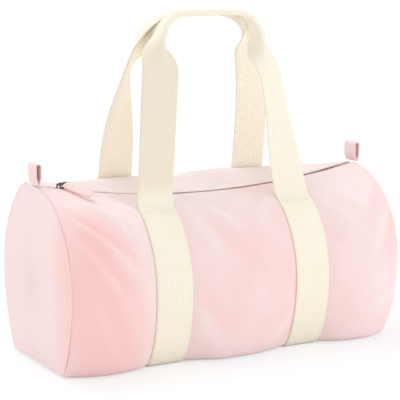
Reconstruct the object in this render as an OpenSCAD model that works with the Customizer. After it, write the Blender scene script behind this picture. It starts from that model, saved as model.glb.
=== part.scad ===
// Barrel bag of pink canvas with cream webbing handles.
// X runs along the bag, the front faces -Y and Z is up.
// The origin is under the middle of the bag, on the surface that it stands on.

/* [Body] */
// Length of the body between its end seams
body_l = 480; // [420:10:560]
// Half the width of the body at its end seams and under its straps
side_half = 113; // [100:1:125]
// How far the cloth swells out between the straps
side_swell = 4; // [0:0.5:6]
// Height of the arched top above the widest line of the body
arch_h = 122; // [110:1:130]
// Height of the zip at the middle of the bag
zip_low_z = 205; // [195:1:215]
// Radius of the long sagging arc that the zip follows
zip_arc_r = 1150; // [1000:10:1600]
// How much of the zip's sag the front shoulder is spared, as a share
front_hold_share = 0.5; // [0.3:0.05:0.6]
// How much of the zip's sag the back shoulder is spared, as a share
back_hold_share = 1; // [0.7:0.05:1]
// Height of the slack fold of cloth that stands up behind the zip
back_crest_h = 8; // [0:0.5:10]
// Half the width of the flat base
base_half = 80; // [70:1:90]
// Extra width of the base where the cloth swells
base_swell = 5; // [0:0.5:8]
// Thickness of the canvas, which is folded double
cloth_t = 1.5; // [1:0.1:2]
// How far each end panel bows outwards
end_bow = 8; // [4:0.5:12]

/* [Webbing] */
// Width of the webbing
webbing_w = 50; // [38:1:56]
// Thickness of the webbing
webbing_t = 2.2; // [1.6:0.1:2.6]
// Distance from the middle of the bag to the middle of a strap
strap_x = 102; // [90:1:120]
// Distance from the zip to the top edge of a sewn strap
strap_top_y = 58; // [54:1:64]
// Height of the crease of a handle's folded grip above the floor
handle_top_z = 442; // [400:1:480]
// Distance from the zip to that crease
handle_top_y = 27; // [26:0.5:30]
// How far each half of the webbing is bent where the grip is folded
grip_fold = 94.5; // [80:0.5:94.5]

/* [Zip] */
// Width of one row of teeth
teeth_w = 2.4; // [2:0.1:3]
// Height of the teeth
teeth_h = 2; // [1.6:0.1:2.4]
// Distance from one tooth to the next
teeth_pitch = 3; // [2.5:0.1:4]
// Gap between the two rows of teeth
teeth_gap = 1; // [0.8:0.1:1.4]
// Width of one zip tape
tape_w = 13; // [10:0.5:14]
// Thickness of a zip tape
tape_t = 0.7; // [0.5:0.1:0.9]
// Length of the slider
slider_l = 11; // [9:0.5:13]
// Distance along the zip that its ends stay away from the end seams
zip_end_margin = 28; // [24:1:36]
// Length of the fabric puller beyond its link
puller_l = 44; // [36:1:46]
// Width of the fabric puller
puller_w = 11; // [9:0.5:11]

/* [Tabs] */
// Height of a tab above the end seam
tab_h = 28; // [22:1:34]
// Width of a tab
tab_w = 27; // [20:1:34]
// Inner gap of a tab's loop
tab_gap = 5.4; // [4.8:0.1:7]

/* [Hidden] */

canvas_pink = [0.95, 0.80, 0.80];
webbing_cream = [0.95, 0.92, 0.84];
thread_cream = [0.90, 0.86, 0.76];
zip_metal = [0.30, 0.26, 0.24];
tape_pink = [0.93, 0.83, 0.82];

// Clearances
seat_gap = 0.3;
hem_half = 5.2;
cut_over = 1;

// Places along the bag
half_l = body_l / 2;
panel_x = half_l - seat_gap;
strap_in = strap_x - webbing_w / 2;
strap_out = strap_x + webbing_w / 2;
level_ramp = 23;

// Heights
arc_centre_z = zip_low_z + zip_arc_r;
strap_lift = seat_gap + webbing_t;
sag_gap = 0.4;

// Corner roundness of the section: at the seams, under the straps and where the cloth swells
seam_corner = 5;
strap_corner = 12;
swell_corner = 28;
side_drop_share = 0.55;

// Height of the sagging zip line at x, and how far it hangs below its ends
function zip_z(x) = arc_centre_z - sqrt(zip_arc_r * zip_arc_r - x * x);
function sag(x) = zip_z(half_l) - zip_z(x);

function mix(a, b, u) = a + (b - a) * u;
function clamp01(u) = min(1, max(0, u));
function smooth(u) = let (c = clamp01(u)) c * c * (3 - 2 * c);

// Swell of the cloth, 0 at the seams and straps and 1 midway between them
function swell(x) =
  let (d = abs(x), outer_mid = (strap_out + half_l) / 2, outer_half = (half_l - strap_out) / 2)
  d < strap_in ? 1 - pow(d / strap_in, 2)
  : d <= strap_out ? 0
  : max(0, 1 - pow((d - outer_mid) / outer_half, 2));

// The straps hold the cloth level, so the shoulder takes the height of the strap's middle
function level_x(x) =
  let (d = abs(x))
  d < strap_in - level_ramp ? d
  : d < strap_in ? mix(strap_in - level_ramp, strap_x, (d - strap_in + level_ramp) / level_ramp)
  : d <= strap_out ? strap_x
  : d < strap_out + level_ramp ? mix(strap_x, strap_out + level_ramp, (d - strap_out) / level_ramp)
  : d;

function corner(x) =
  let (d = abs(x), ends = mix(strap_corner, seam_corner, clamp01((d - strap_out) / (half_l - strap_out))))
  mix(ends, swell_corner, swell(x));

function base_z(x) = mix(strap_lift, sag_gap, sqrt(swell(x)));
function half_w(x) = side_half + side_swell * swell(x);
function base_w(x) = base_half + base_swell * swell(x);

// Angles down the arched top from the zip, and steps down the side
hem_angle = asin(hem_half / side_half);
strap_angle = asin(strap_top_y / side_half);
arch_angles = [hem_angle, 6, 10, 15, 21, strap_angle, 42, 54, 66, 78, 90];
side_steps = 8;
base_steps = 2;
level_from = 8;
level_to = 24;
front_from = 24;
front_reach = 50;
back_reach = 45;

// Height that the arch has over its widest line, which follows the zip less and less towards the side.
// side is -1 at the front and 1 at the back.
function arch_top(x, angle, side) =
  let (
    y = side_half * sin(angle),
    level = smooth((angle - level_from) / (level_to - level_from)),
    back_rise = smooth((y - hem_half) / back_reach),
    front_rise = smooth((y - front_from) / front_reach),
    held = side < 0 ? front_hold_share * front_rise : back_hold_share * back_rise,
    slack = side < 0 ? 0 : back_crest_h * (1 - pow(2 * sin(angle) - 1, 2)) * back_rise
  )
  mix(zip_z(x), zip_z(level_x(x)), level)
    + sag(level_x(x)) * (held + slack / sag(0));

// A point of the arched top, lying d outside the cloth
function arch_point(x, angle, d, side) =
  [(half_w(x) + d) * sin(angle), arch_top(x, angle, side) - arch_h + (arch_h + d) * cos(angle)];

// A point of the side, which drops from the widest line and turns under to the base
function side_point(x, u, d, side) =
  let (
    y0 = half_w(x) + d,
    z0 = arch_top(x, 90, side) - arch_h,
    z3 = base_z(x) - d,
    y3 = base_w(x),
    y2 = y3 + corner(x) + d,
    z1 = mix(z0, z3, side_drop_share),
    v = 1 - u
  )
  [
    v * v * v * y0 + 3 * v * v * u * y0 + 3 * v * u * u * y2 + u * u * u * y3,
    v * v * v * z0 + 3 * v * v * u * z1 + 3 * v * u * u * z3 + u * u * u * z3
  ];

// Half of the section from the arch angle that starts it, as [distance from the middle, height]
function half_section(x, d, angles, side) = concat(
  [for (a = angles) arch_point(x, a, d, side)],
  [for (i = [1:side_steps]) side_point(x, i / side_steps, d, side)]
);

function floor_points(x, d) =
  [for (i = [1:base_steps]) [base_w(x) * (1 - i / base_steps), base_z(x) - d]];

// The whole section from the front edge, underneath, to the back edge
function full_section(x, d, angles) =
  let (
    front = concat(half_section(x, d, angles, -1), floor_points(x, d)),
    back = concat(half_section(x, d, angles, 1), floor_points(x, d))
  )
  concat(
    [for (p = front) [x, -p[0], p[1]]],
    [for (i = [len(back) - 2:-1:0]) [x, back[i][0], back[i][1]]]
  );

// Faces between rows of points: a grid of rows by cols, with an offset into the list
function grid_faces(rows, cols, start, flip) = [
  for (r = [0:rows - 2], c = [0:cols - 2])
    let (
      a = start + r * cols + c,
      b = a + 1,
      e = a + cols,
      f = e + 1
    )
    each flip ? [[a, b, f], [a, f, e]] : [[a, f, b], [a, e, f]]
];

// A closed sheet between an outer and an inner grid of points of the same shape
module sheet(outer, inner) {
  rows = len(outer);
  cols = len(outer[0]);
  count = rows * cols;
  points = concat([for (row = outer) each row], [for (row = inner) each row]);
  row_rims = [
    for (c = [0:cols - 2])
      let (a = c, b = c + 1, e = (rows - 1) * cols + c, f = e + 1)
      each [
        [a, b, b + count], [a, b + count, a + count],
        [e, f + count, f], [e, e + count, f + count]
      ]
  ];
  col_rims = [
    for (r = [0:rows - 2])
      let (a = r * cols, b = a + cols, e = a + cols - 1, f = e + cols)
      each [
        [a, b + count, b], [a, a + count, b + count],
        [e, f, f + count], [e, f + count, e + count]
      ]
  ];
  outside = grid_faces(rows, cols, 0, false);
  inside = grid_faces(rows, cols, count, true);
  polyhedron(points, concat(outside, inside, row_rims, col_rims));
}

// Body panel: one length of canvas that wraps from the front of the zip round to the back
swell_shares = [0.12, 0.3, 0.5, 0.7, 0.88];
mid_shares = [0.85, 0.6, 0.3];
right_stations = concat(
  [for (s = [len(mid_shares) - 1:-1:0]) strap_in * mid_shares[s]],
  [strap_in, strap_x, strap_out],
  [for (s = swell_shares) mix(strap_out, panel_x, s)],
  [panel_x]
);
stations = concat(
  [for (i = [len(right_stations) - 1:-1:0]) -right_stations[i]],
  [0],
  right_stations
);

module body_panel() {
  color(canvas_pink)
    sheet(
      [for (x = stations) full_section(x, 0, arch_angles)],
      [for (x = stations) full_section(x, -cloth_t, arch_angles)]
    );
}

// End panels: bowed plates of canvas with the outline of the body's end
bow_centre_share = 0.46;
ring_shares = [1, 0.88, 0.66, 0.36, 0.02];
top_angle = 0.01;
top_angles = concat([top_angle], arch_angles);

module end_panel(side) {
  edge = full_section(half_l, 0, top_angles);
  centre_z = zip_z(half_l) * bow_centre_share;
  function ring(share, inset) = [
    for (p = edge)
      [
        side * (half_l + (1 - share * share) * end_bow + inset),
        p[1] * share,
        centre_z + (p[2] - centre_z) * share
      ]
  ];
  outer = [for (s = ring_shares) ring(s, cloth_t)];
  inner = [for (s = ring_shares) ring(s, 0)];
  color(canvas_pink) disc(outer, inner, side > 0);
}

// A closed plate from rings of points, with a point ring at its middle
module disc(outer, inner, flip) {
  rows = len(outer);
  cols = len(outer[0]);
  count = rows * cols;
  points = concat([for (row = outer) each row], [for (row = inner) each row]);
  function wrap(r, c) = r * cols + c % cols;
  skin = [
    for (r = [0:rows - 2], c = [0:cols - 1])
      let (a = wrap(r, c), b = wrap(r, c + 1), e = wrap(r + 1, c), f = wrap(r + 1, c + 1))
      each [
        [a, f, b], [a, e, f],
        [a + count, b + count, f + count], [a + count, f + count, e + count]
      ]
  ];
  rim = [
    for (c = [0:cols - 1])
      let (a = wrap(0, c), b = wrap(0, c + 1))
      each [[a, b, b + count], [a, b + count, a + count]]
  ];
  last = (rows - 1) * cols;
  caps = [
    [for (c = [0:cols - 1]) last + c],
    [for (c = [cols - 1:-1:0]) last + count + c]
  ];
  faces = concat(skin, rim, caps);
  polyhedron(points, flip ? [for (f = faces) [for (i = [len(f) - 1:-1:0]) f[i]]] : faces);
}

// Seam bindings: tapes inside the bag that cover the raw edges of the end seams
binding_w = 10;
binding_t = 1.2;
binding_inset = 2.5;

module seam_binding(side) {
  angles = [for (a = arch_angles) if (side_half * sin(a) > tape_edge + tape_w) a];
  lift = -cloth_t - 2 * seat_gap;
  xs = [half_l - binding_inset - binding_w, half_l - binding_inset];
  rows = side > 0 ? xs : [-xs[1], -xs[0]];
  color(tape_pink)
    sheet(
      [for (x = rows) full_section(x, lift, angles)],
      [for (x = rows) full_section(x, lift - binding_t, angles)]
    );
}

// Zip: everything on it is swept about one axis, so that the slider runs true
function arc_angle(x) = asin(x / zip_arc_r);
zip_half = half_l - zip_end_margin;
teeth_angle = arc_angle(zip_half);
tape_angle = arc_angle(panel_x - seat_gap);
slider_angle = -arc_angle(zip_half - slider_l / 2);
tape_play = 0.1;
tooth_play = 0.2;
tape_depth = cloth_t + seat_gap + tape_play;
tooth_edge = teeth_gap / 2 + teeth_w;
tape_edge = tooth_edge + tooth_play;
teeth_mid = -tape_depth - tape_t / 2;

// Turns what is drawn at the lowest point of the arc to its place along the zip
module along_zip(angle) {
  translate([0, 0, arc_centre_z]) rotate([0, -angle, 0]) translate([0, 0, -zip_arc_r]) children();
}

module zip_tape(side) {
  tape_out = tape_edge + tape_w;
  function drop(y) = arch_h * (1 - sqrt(1 - pow(y / side_half, 2)));
  ys = [tape_edge, (tape_edge + tape_out) / 2, tape_out];
  profile = concat(
    [for (y = ys) [zip_arc_r + tape_depth + drop(y), -side * y]],
    [for (i = [2:-1:0]) [zip_arc_r + tape_depth + tape_t + drop(ys[i]), -side * ys[i]]]
  );
  color(tape_pink)
    translate([0, 0, arc_centre_z])
      rotate([90, 0, 0])
        rotate([0, 0, -90 - tape_angle])
          rotate_extrude(angle = 2 * tape_angle, $fn = 180)
            polygon(profile);
}

// One row of teeth: a strip along the arc whose top is cut into ridges
tooth_share = 0.56;
tooth_base_share = 0.45;

module zip_teeth(side) {
  pitch_angle = teeth_pitch / zip_arc_r * 180 / PI;
  count = floor(2 * teeth_angle / pitch_angle);
  shift = side > 0 ? 0 : pitch_angle / 2;
  first = -count * pitch_angle / 2 + shift - pitch_angle / 4;
  r_low = zip_arc_r - teeth_mid + teeth_h / 2;
  r_root = r_low - teeth_h * tooth_base_share;
  r_top = r_low - teeth_h;
  function on_arc(a, r) = [r * sin(a), arc_centre_z - r * cos(a)];
  ridges = [
    for (i = [0:count - 1])
      let (a = first + i * pitch_angle, b = a + pitch_angle * tooth_share)
      each [on_arc(a, r_top), on_arc(b, r_top), on_arc(b, r_root), on_arc(a + pitch_angle, r_root)]
  ];
  last = first + (count - 1) * pitch_angle + pitch_angle * tooth_share;
  under = [for (i = [count:-2:0]) on_arc(mix(first, last, i / count), r_low)];
  trimmed = [for (i = [0:len(ridges) - 3]) ridges[i]];
  color(zip_metal)
    translate([0, side > 0 ? tooth_edge : -teeth_gap / 2, 0])
      rotate([90, 0, 0])
        linear_extrude(teeth_w)
          polygon(concat(trimmed, under));
}

// Stops: small clamps past both ends of each row of teeth
stop_l = 2.2;
stop_lead = 2.2;

module zip_stops() {
  color(zip_metal)
    for (end = [-1, 1], side = [-1, 1])
      along_zip(end * (teeth_angle + arc_angle(stop_lead + stop_l / 2)))
        translate([-stop_l / 2, side > 0 ? teeth_gap / 2 : -tooth_edge, teeth_mid - teeth_h / 2])
          cube([stop_l, teeth_w, teeth_h]);
}

// Slider: two plates joined by a thin neck, with a bridge on top for the link
run_gap = 0.4;
plate_t = 1.2;
lip_t = 1.2;
neck_t = 0.5;
neck_l = 5;
slider_half = tooth_edge + run_gap + lip_t;
channel_half = teeth_h / 2 + run_gap;
plate_top = teeth_mid + channel_half + plate_t;
bridge_h = 5.4;
bridge_r = 0.65;
bridge_half = 4.4;
bridge_z = plate_top + bridge_h;
post_t = 1.3;
post_w = 1.8;

module slider_solid() {
  low = teeth_mid - channel_half - plate_t;
  difference() {
    translate([-slider_l / 2, -slider_half, low])
      cube([slider_l, 2 * slider_half, plate_top - low]);
    translate([-slider_l / 2 - cut_over, -tooth_edge - run_gap, teeth_mid - channel_half])
      cube([slider_l + 2 * cut_over, 2 * (tooth_edge + run_gap), 2 * channel_half]);
    translate([-slider_l / 2 - cut_over, -slider_half - cut_over, teeth_mid - tape_t / 2 - run_gap])
      cube([slider_l + 2 * cut_over, 2 * (slider_half + cut_over), tape_t + 2 * run_gap]);
    for (end = [-1, 1], side = [-1, 1])
      translate([end * slider_l / 2, side * slider_half, low - cut_over])
        rotate([0, 0, 45])
          translate([-plate_t, -plate_t, 0])
            cube([2 * plate_t, 2 * plate_t, plate_top - low + 2 * cut_over]);
  }
  translate([-neck_l / 2, -neck_t / 2, teeth_mid - channel_half - plate_t / 2])
    cube([neck_l, neck_t, 2 * channel_half + plate_t]);
  for (end = [-1, 1])
    translate([end * bridge_half - post_t / 2, -post_w / 2, plate_top - plate_t / 2])
      cube([post_t, post_w, bridge_h + plate_t / 2]);
  translate([-bridge_half, 0, bridge_z])
    rotate([0, 90, 0])
      cylinder(r = bridge_r, h = 2 * bridge_half, $fn = 32);
}

module zip_slider() {
  color(zip_metal) along_zip(slider_angle) slider_solid();
}

// Link: a stamped eye and bar that hangs from the slider's bridge and leans to the front
link_yaw = -67;
link_roll = 35;
link_t = 1.2;
eye_r = 2.4;
eye_rim = 1.1;
bar_w = 1.7;
bar_at = 8.75;
window_play = 0.4;
window_half = puller_w / 2 + window_play;
arm_t = 1.4;
window_near = 5.4;
bore_r = 1.35;

module on_link() {
  along_zip(slider_angle)
    translate([0, 0, bridge_z])
      rotate([link_roll, 0, link_yaw])
        children();
}

module pull_link() {
  eye_out = eye_r + eye_rim;
  window_end = bar_at - bar_w / 2;
  link_end = bar_at + bar_w / 2;
  arm_out = window_half + arm_t;
  color(zip_metal)
    on_link()
      translate([0, 0, -link_t / 2])
        linear_extrude(link_t)
          difference() {
            union() {
              circle(r = eye_out, $fn = 48);
              polygon([
                [0, -eye_out], [window_near - arm_t / 2, -arm_out], [link_end, -arm_out],
                [link_end, arm_out], [window_near - arm_t / 2, arm_out], [0, eye_out]
              ]);
            }
            circle(r = eye_r, $fn = 48);
            polygon([
              [eye_out, -eye_r], [window_near, -window_half], [window_end, -window_half],
              [window_end, window_half], [window_near, window_half], [eye_out, eye_r]
            ]);
          }
}

// Puller: a strip of canvas folded round the link's bar and sewn flat
puller_pitch = 8;
puller_t = 2.4;
puller_fold_t = 1;

module puller() {
  fold_r = bore_r + puller_fold_t;
  color(canvas_pink)
    on_link()
      translate([bar_at, 0, 0])
        rotate([0, puller_pitch, 0])
          translate([0, puller_w / 2, 0])
            rotate([90, 0, 0])
              linear_extrude(puller_w)
                difference() {
                  union() {
                    circle(r = fold_r, $fn = 48);
                    translate([0, -puller_t / 2]) square([puller_l, puller_t]);
                  }
                  circle(r = bore_r, $fn = 48);
                }
}

// Straps: webbing sewn down the front, flat under the base and up the back
strap_angles = [for (a = arch_angles) if (a >= strap_angle) a];

function strap_side(x, d, side) = [for (p = half_section(x, d, strap_angles, side)) [x, side * p[0], p[1]]];

module strap_run(end, side) {
  xs = end > 0 ? [strap_in, strap_x, strap_out] : [-strap_out, -strap_x, -strap_in];
  outer = [for (x = xs) strap_side(x, strap_lift, side)];
  inner = [for (x = xs) strap_side(x, seat_gap, side)];
  color(webbing_cream)
    if (side < 0) sheet(outer, inner);
    else sheet(inner, outer);
}

module strap_base(end) {
  color(webbing_cream)
    translate([end * strap_x - webbing_w / 2, -base_half + seat_gap, 0])
      cube([webbing_w, 2 * (base_half - seat_gap), webbing_t]);
}

// Bar tacks: four dense rows of thread on the top of each sewn strap
tack_t = 0.6;
tack_w = 1.6;
tack_pitch = 10;
tack_margin = 5;
tack_rows = [0, 1];

module bar_tacks() {
  next_angle = [for (a = strap_angles) if (a > strap_angle) a][0];
  color(thread_cream)
    for (end = [-1, 1], side = [-1, 1], row = tack_rows) {
      top = arch_point(strap_x, strap_angle, strap_lift, side);
      low = arch_point(strap_x, next_angle, strap_lift, side);
      slope = atan2(low[1] - top[1], low[0] - top[0]);
      mirror([0, (1 + side) / 2, 0])
        translate([end * strap_x, -top[0], top[1]])
          rotate([-slope, 0, 0])
            translate([-webbing_w / 2 + tack_margin, -tack_margin / 2 - row * tack_pitch, seat_gap])
              mirror([0, 1, 0])
                cube([webbing_w - 2 * tack_margin, tack_w, tack_t]);
    }
}

// Handles: one length of webbing each. It rises flat from its root, and over the grip it is folded
// in half lengthwise, with the crease outwards and its edges together.
// Each leg hangs its own way, left and then right. It turns its outer edge towards the zip by an
// angle. Its row of shares gives where on its path the turn is reached, where its fold starts and
// ends, and how far out and up the path's two middle corners lie.
leg_gap = 0.4;
front_turns = [5, 27];
back_turns = [58, 0];
front_leg_shares = [[0.22, 0.31, 0.5, 0.66, 0.86, 1.06], [0.22, 0.28, 0.5, 0.66, 0.86, 1.06]];
back_leg_shares = [[0.34, 0.31, 0.60, 1.02, 0.69, 0.985], [0.22, 0.38, 0.64, 1, 0.8, 0.985]];
handle_steps = 30;
root_share = 0.12;
lean_pull_share = 1.15;
bend_run = 2.4;
bend_shares = [0.25, 0.75, 1];
bend_runs = [bend_run, bend_run, webbing_w / 2 - 2 * bend_run];

function bezier(p, t) =
  let (v = 1 - t)
  v * v * v * p[0] + 3 * v * v * t * p[1] + 3 * v * t * t * p[2] + t * t * t * p[3];
function bezier_slope(p, t) =
  let (v = 1 - t)
  3 * v * v * (p[1] - p[0]) + 6 * v * t * (p[2] - p[1]) + 3 * t * t * (p[3] - p[2]);
function unit(v) = v / norm(v);

// The section of the webbing as [across, outwards] from its crease, with each half bent by fold
function bend_at(i, fold) =
  i == 0 ? [0, 0]
  : let (turn = fold * bend_shares[i - 1])
    bend_at(i - 1, fold) + bend_runs[i - 1] * [cos(turn), -sin(turn)];
function bend_turn(i, fold) =
  i == 0 ? 0
  : i == len(bend_shares) ? fold
  : fold * (bend_shares[i - 1] + bend_shares[i]) / 2;
function folded_point(c, fold, out) =
  let (at = bend_at(abs(c), fold), turn = bend_turn(abs(c), fold))
  [sign(c) * (at[0] + out * sin(turn)), at[1] + out * cos(turn)];

// The path of the crease of one half of a handle, drawn at the left and the front.
// The fold line at the root is the outer top edge of the sewn strap.
function handle_path(side, shares) =
  let (
    root = arch_point(strap_x, strap_angle, strap_lift, side),
    start_z = root[1] + leg_gap,
    rise = handle_top_z - start_z,
    lean = atan2(root[0] - handle_top_y, rise),
    start_y = -root[0] + webbing_t / 2 / cos(lean)
  )
  [
    [-strap_x, start_y, start_z],
    [-strap_x * shares[3], mix(start_y, -handle_top_y, lean_pull_share), start_z + rise * shares[5]],
    [-strap_x * shares[4], -handle_top_y, handle_top_z],
    [0, -handle_top_y, handle_top_z]
  ];

// One row of points across the webbing at step t, lying out from its middle layer
function handle_row(path, t, out, leg_turn, shares) =
  let (
    at = bezier(path, t),
    along = unit(bezier_slope(path, t)),
    level_face = unit([0, -1, 0] + along[1] * along),
    level_wide = unit(mix([1, 0, 0], cross(along, level_face), smooth(t / root_share))),
    closing = clamp01((t - shares[1]) / (shares[2] - shares[1])),
    turn = leg_turn * smooth(t / shares[0]) * (1 - smooth(closing)),
    wide = level_wide * cos(turn) + level_face * sin(turn),
    face = level_face * cos(turn) - level_wide * sin(turn),
    fold = grip_fold * closing
  )
  [
    for (c = [-len(bend_runs):len(bend_runs)])
      let (q = folded_point(c, fold, out))
      at + wide * q[0] + face * q[1]
  ];

function leg_rows(side, leg, out) =
  let (
    turns = side < 0 ? front_turns : back_turns,
    shares = side < 0 ? front_leg_shares[leg] : back_leg_shares[leg],
    path = handle_path(side, shares)
  )
  [for (i = [0:handle_steps]) handle_row(path, i / handle_steps, out, turns[leg], shares)];

function whole_handle(side, out) =
  let (left = leg_rows(side, 0, out), right = leg_rows(side, 1, out))
  concat(left, [for (i = [handle_steps - 1:-1:0]) [for (p = right[i]) [-p[0], p[1], p[2]]]]);

module handle(side) {
  color(webbing_cream)
    mirror([0, (1 + side) / 2, 0])
      sheet(whole_handle(side, webbing_t / 2), whole_handle(side, -webbing_t / 2));
}

// Tabs: short loops of folded canvas caught in the end seams over the ends of the zip
tab_wall = 1.2;
tab_neck = 10;
tab_slot_low = 5;
tab_axis_z = zip_z(half_l) + seat_gap + tab_wall;
tab_axis_x = half_l;

module tab(side) {
  out = tab_gap / 2 + tab_wall;
  crown = tab_h - tab_wall - out;
  color(canvas_pink)
    translate([side * tab_axis_x, tab_w / 2, tab_axis_z])
      rotate([90, 0, 0])
        linear_extrude(tab_w)
          difference() {
            union() {
              circle(r = tab_wall, $fn = 32);
              polygon([
                [-tab_wall, 0], [tab_wall, 0], [out, tab_neck],
                [out, crown], [-out, crown], [-out, tab_neck]
              ]);
              translate([0, crown]) circle(r = out, $fn = 64);
            }
            polygon([
              [0, tab_slot_low], [tab_gap / 2, tab_neck], [tab_gap / 2, crown],
              [-tab_gap / 2, crown], [-tab_gap / 2, tab_neck]
            ]);
            translate([0, crown]) circle(r = tab_gap / 2, $fn = 64);
          }
}

body_panel();
end_panel(-1);  // left_end_panel
end_panel(1);  // right_end_panel
seam_binding(-1);  // left_seam_binding
seam_binding(1);  // right_seam_binding
zip_tape(-1);  // zip_tape_front
zip_tape(1);  // zip_tape_back
zip_teeth(-1);  // zip_teeth_front
zip_teeth(1);  // zip_teeth_back
zip_stops();
zip_slider();
pull_link();
puller();
strap_run(-1, -1);  // left_strap_front
strap_run(-1, 1);  // left_strap_back
strap_base(-1);  // left_strap_base
strap_run(1, -1);  // right_strap_front
strap_run(1, 1);  // right_strap_back
strap_base(1);  // right_strap_base
handle(-1);  // front_handle
handle(1);  // back_handle
tab(-1);  // left_tab
tab(1);  // right_tab
bar_tacks();
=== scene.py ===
# %% [markdown]
# A soft barrel bag around a fixed frame.
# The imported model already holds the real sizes, the hinges and the hard zip parts. This lesson adds
# what a viewer sees: canvas that swells between its seams, webbing that folds and twists, stitches
# and weave. The frame is loaded first, because every soft piece has to sit on what carries it.

# %% Load the frame
import math

import bpy
import numpy as np
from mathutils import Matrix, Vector


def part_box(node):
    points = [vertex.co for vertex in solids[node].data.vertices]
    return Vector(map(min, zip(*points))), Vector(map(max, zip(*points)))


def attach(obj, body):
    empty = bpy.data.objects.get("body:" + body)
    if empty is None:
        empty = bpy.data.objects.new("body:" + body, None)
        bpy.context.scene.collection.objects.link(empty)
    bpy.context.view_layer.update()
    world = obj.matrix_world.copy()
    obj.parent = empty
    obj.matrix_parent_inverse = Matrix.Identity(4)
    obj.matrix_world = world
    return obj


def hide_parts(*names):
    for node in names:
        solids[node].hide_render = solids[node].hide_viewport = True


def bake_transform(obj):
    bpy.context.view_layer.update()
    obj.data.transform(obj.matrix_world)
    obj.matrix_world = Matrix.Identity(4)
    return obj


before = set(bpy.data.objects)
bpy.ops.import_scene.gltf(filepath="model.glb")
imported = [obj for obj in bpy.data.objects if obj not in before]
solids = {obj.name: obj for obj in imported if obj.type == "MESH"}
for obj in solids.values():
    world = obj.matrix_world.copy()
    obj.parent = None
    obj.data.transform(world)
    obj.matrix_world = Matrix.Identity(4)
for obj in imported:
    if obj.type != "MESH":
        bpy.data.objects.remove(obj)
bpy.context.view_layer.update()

# %% [markdown]
# The sizes below repeat the driving dimensions of the solids, in metres. The bag's whole body
# follows from them, so a surface in this file and its solid in the frame can't drift apart.

# %% Sizes of the bag
HALF_LENGTH = 0.240
SIDE_HALF = 0.113
SIDE_SWELL = 0.004
ARCH_HEIGHT = 0.122
ZIP_RADIUS = 1.150
ZIP_LOW = 0.205
ZIP_CENTRE = ZIP_LOW + ZIP_RADIUS
BASE_HALF = 0.080
BASE_SWELL = 0.005
HEM_HALF = 0.0052
CLOTH = 0.0015
SEAT = 0.0003

WEBBING_WIDTH = 0.050
WEBBING_THICK = 0.0022
STRAP_X = 0.102
STRAP_IN = STRAP_X - WEBBING_WIDTH / 2
STRAP_OUT = STRAP_X + WEBBING_WIDTH / 2
STRAP_TOP_Y = 0.058
STRAP_LIFT = SEAT + WEBBING_THICK
LEVEL_RAMP = 0.023

HEM_ANGLE = math.asin(HEM_HALF / SIDE_HALF)
STRAP_ANGLE = math.asin(STRAP_TOP_Y / SIDE_HALF)
FRONT, BACK = -1, 1
print("body in metres, long and wide:", 2 * HALF_LENGTH, 2 * SIDE_HALF)

# %% [markdown]
# The body of a barrel bag is one length of canvas, so it is one section carried along the bag.
# A mesh could be pulled about by hand, but a formula keeps the seams, the straps and the zip on
# one surface. The section is an arched top, a side that drops and turns under, and a flat base.

# %% Small helpers for shapes
def smooth(u):
    """Rises from 0 to 1 as u goes from 0 to 1, level at both ends: 3 u squared minus 2 u cubed."""
    u = np.clip(u, 0, 1)
    return u * u * (3 - 2 * u)


def mix(a, b, u):
    """a at u = 0, b at u = 1 and a straight line between."""
    return a + (b - a) * u


def bell(u):
    """A soft hump: e to the minus u squared."""
    return np.exp(-u * u)


def zip_height(x):
    """Height of the sagging zip: the lowest part of a circle of ZIP_RADIUS about ZIP_CENTRE."""
    return ZIP_CENTRE - np.sqrt(ZIP_RADIUS**2 - x * x)


def sag(x):
    """How far the zip hangs below its ends."""
    return zip_height(HALF_LENGTH) - zip_height(x)


def swell(x):
    """0 at the seams and straps and 1 midway: one minus the square of the way from the middle."""
    far = np.abs(x)
    middle = (STRAP_OUT + HALF_LENGTH) / 2
    reach = (HALF_LENGTH - STRAP_OUT) / 2
    outer = np.maximum(0, 1 - ((far - middle) / reach) ** 2)
    inner = 1 - (far / STRAP_IN) ** 2
    return np.where(far < STRAP_IN, inner, np.where(far <= STRAP_OUT, 0, outer))


def level_place(x):
    """The place whose height the shoulder takes: a strap holds the cloth level over its own width."""
    far = np.abs(x)
    rise = mix(STRAP_IN - LEVEL_RAMP, STRAP_X, (far - STRAP_IN + LEVEL_RAMP) / LEVEL_RAMP)
    fall = mix(STRAP_X, STRAP_OUT + LEVEL_RAMP, (far - STRAP_OUT) / LEVEL_RAMP)
    held = np.where(far < STRAP_IN, rise, np.where(far <= STRAP_OUT, STRAP_X, fall))
    free = (far < STRAP_IN - LEVEL_RAMP) | (far > STRAP_OUT + LEVEL_RAMP)
    return np.where(free, far, held)


print("the zip sags by", round(float(sag(0)), 4), "metres")

# %% [markdown]
# The zip sags by 25 mm, but the cloth beside it doesn't follow it all the way: behind the zip a
# slack fold stands up, and in front of it the shoulder is spared half of the sag.

# %% The section of the body
FRONT_HOLD_SHARE = 0.5
BACK_CREST = 0.008
FRONT_FROM = 0.024
FRONT_REACH = 0.050
BACK_REACH = 0.045
LEVEL_FROM, LEVEL_TO = math.radians(8), math.radians(24)
SEAM_CORNER, STRAP_CORNER, SWELL_CORNER = 0.005, 0.012, 0.028
SIDE_DROP_SHARE = 0.55
END_LIFT, END_LIFT_FROM, END_LIFT_Y, END_LIFT_REACH = 0.007, 0.180, 0.045, 0.028
TAB_ROOM, TAB_FADE = 0.014, 0.020
SAG_GAP = 0.0004
ARCH_SHARE, SIDE_SHARE = 0.493, 0.781
HALF_GIRTH = 0.373


def hem_share(v):
    """How far a place v round the body is from the nearer hem: 0 there and 1 under the middle."""
    return 1 - np.abs(1 - 2 * v)


def hem_distance(v):
    """The same in metres."""
    return hem_share(v) * HALF_GIRTH


def round_place(share, side):
    """The place v round the body at a share of the way down from one side's hem."""
    return share / 2 if side < 0 else 1 - share / 2


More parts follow.
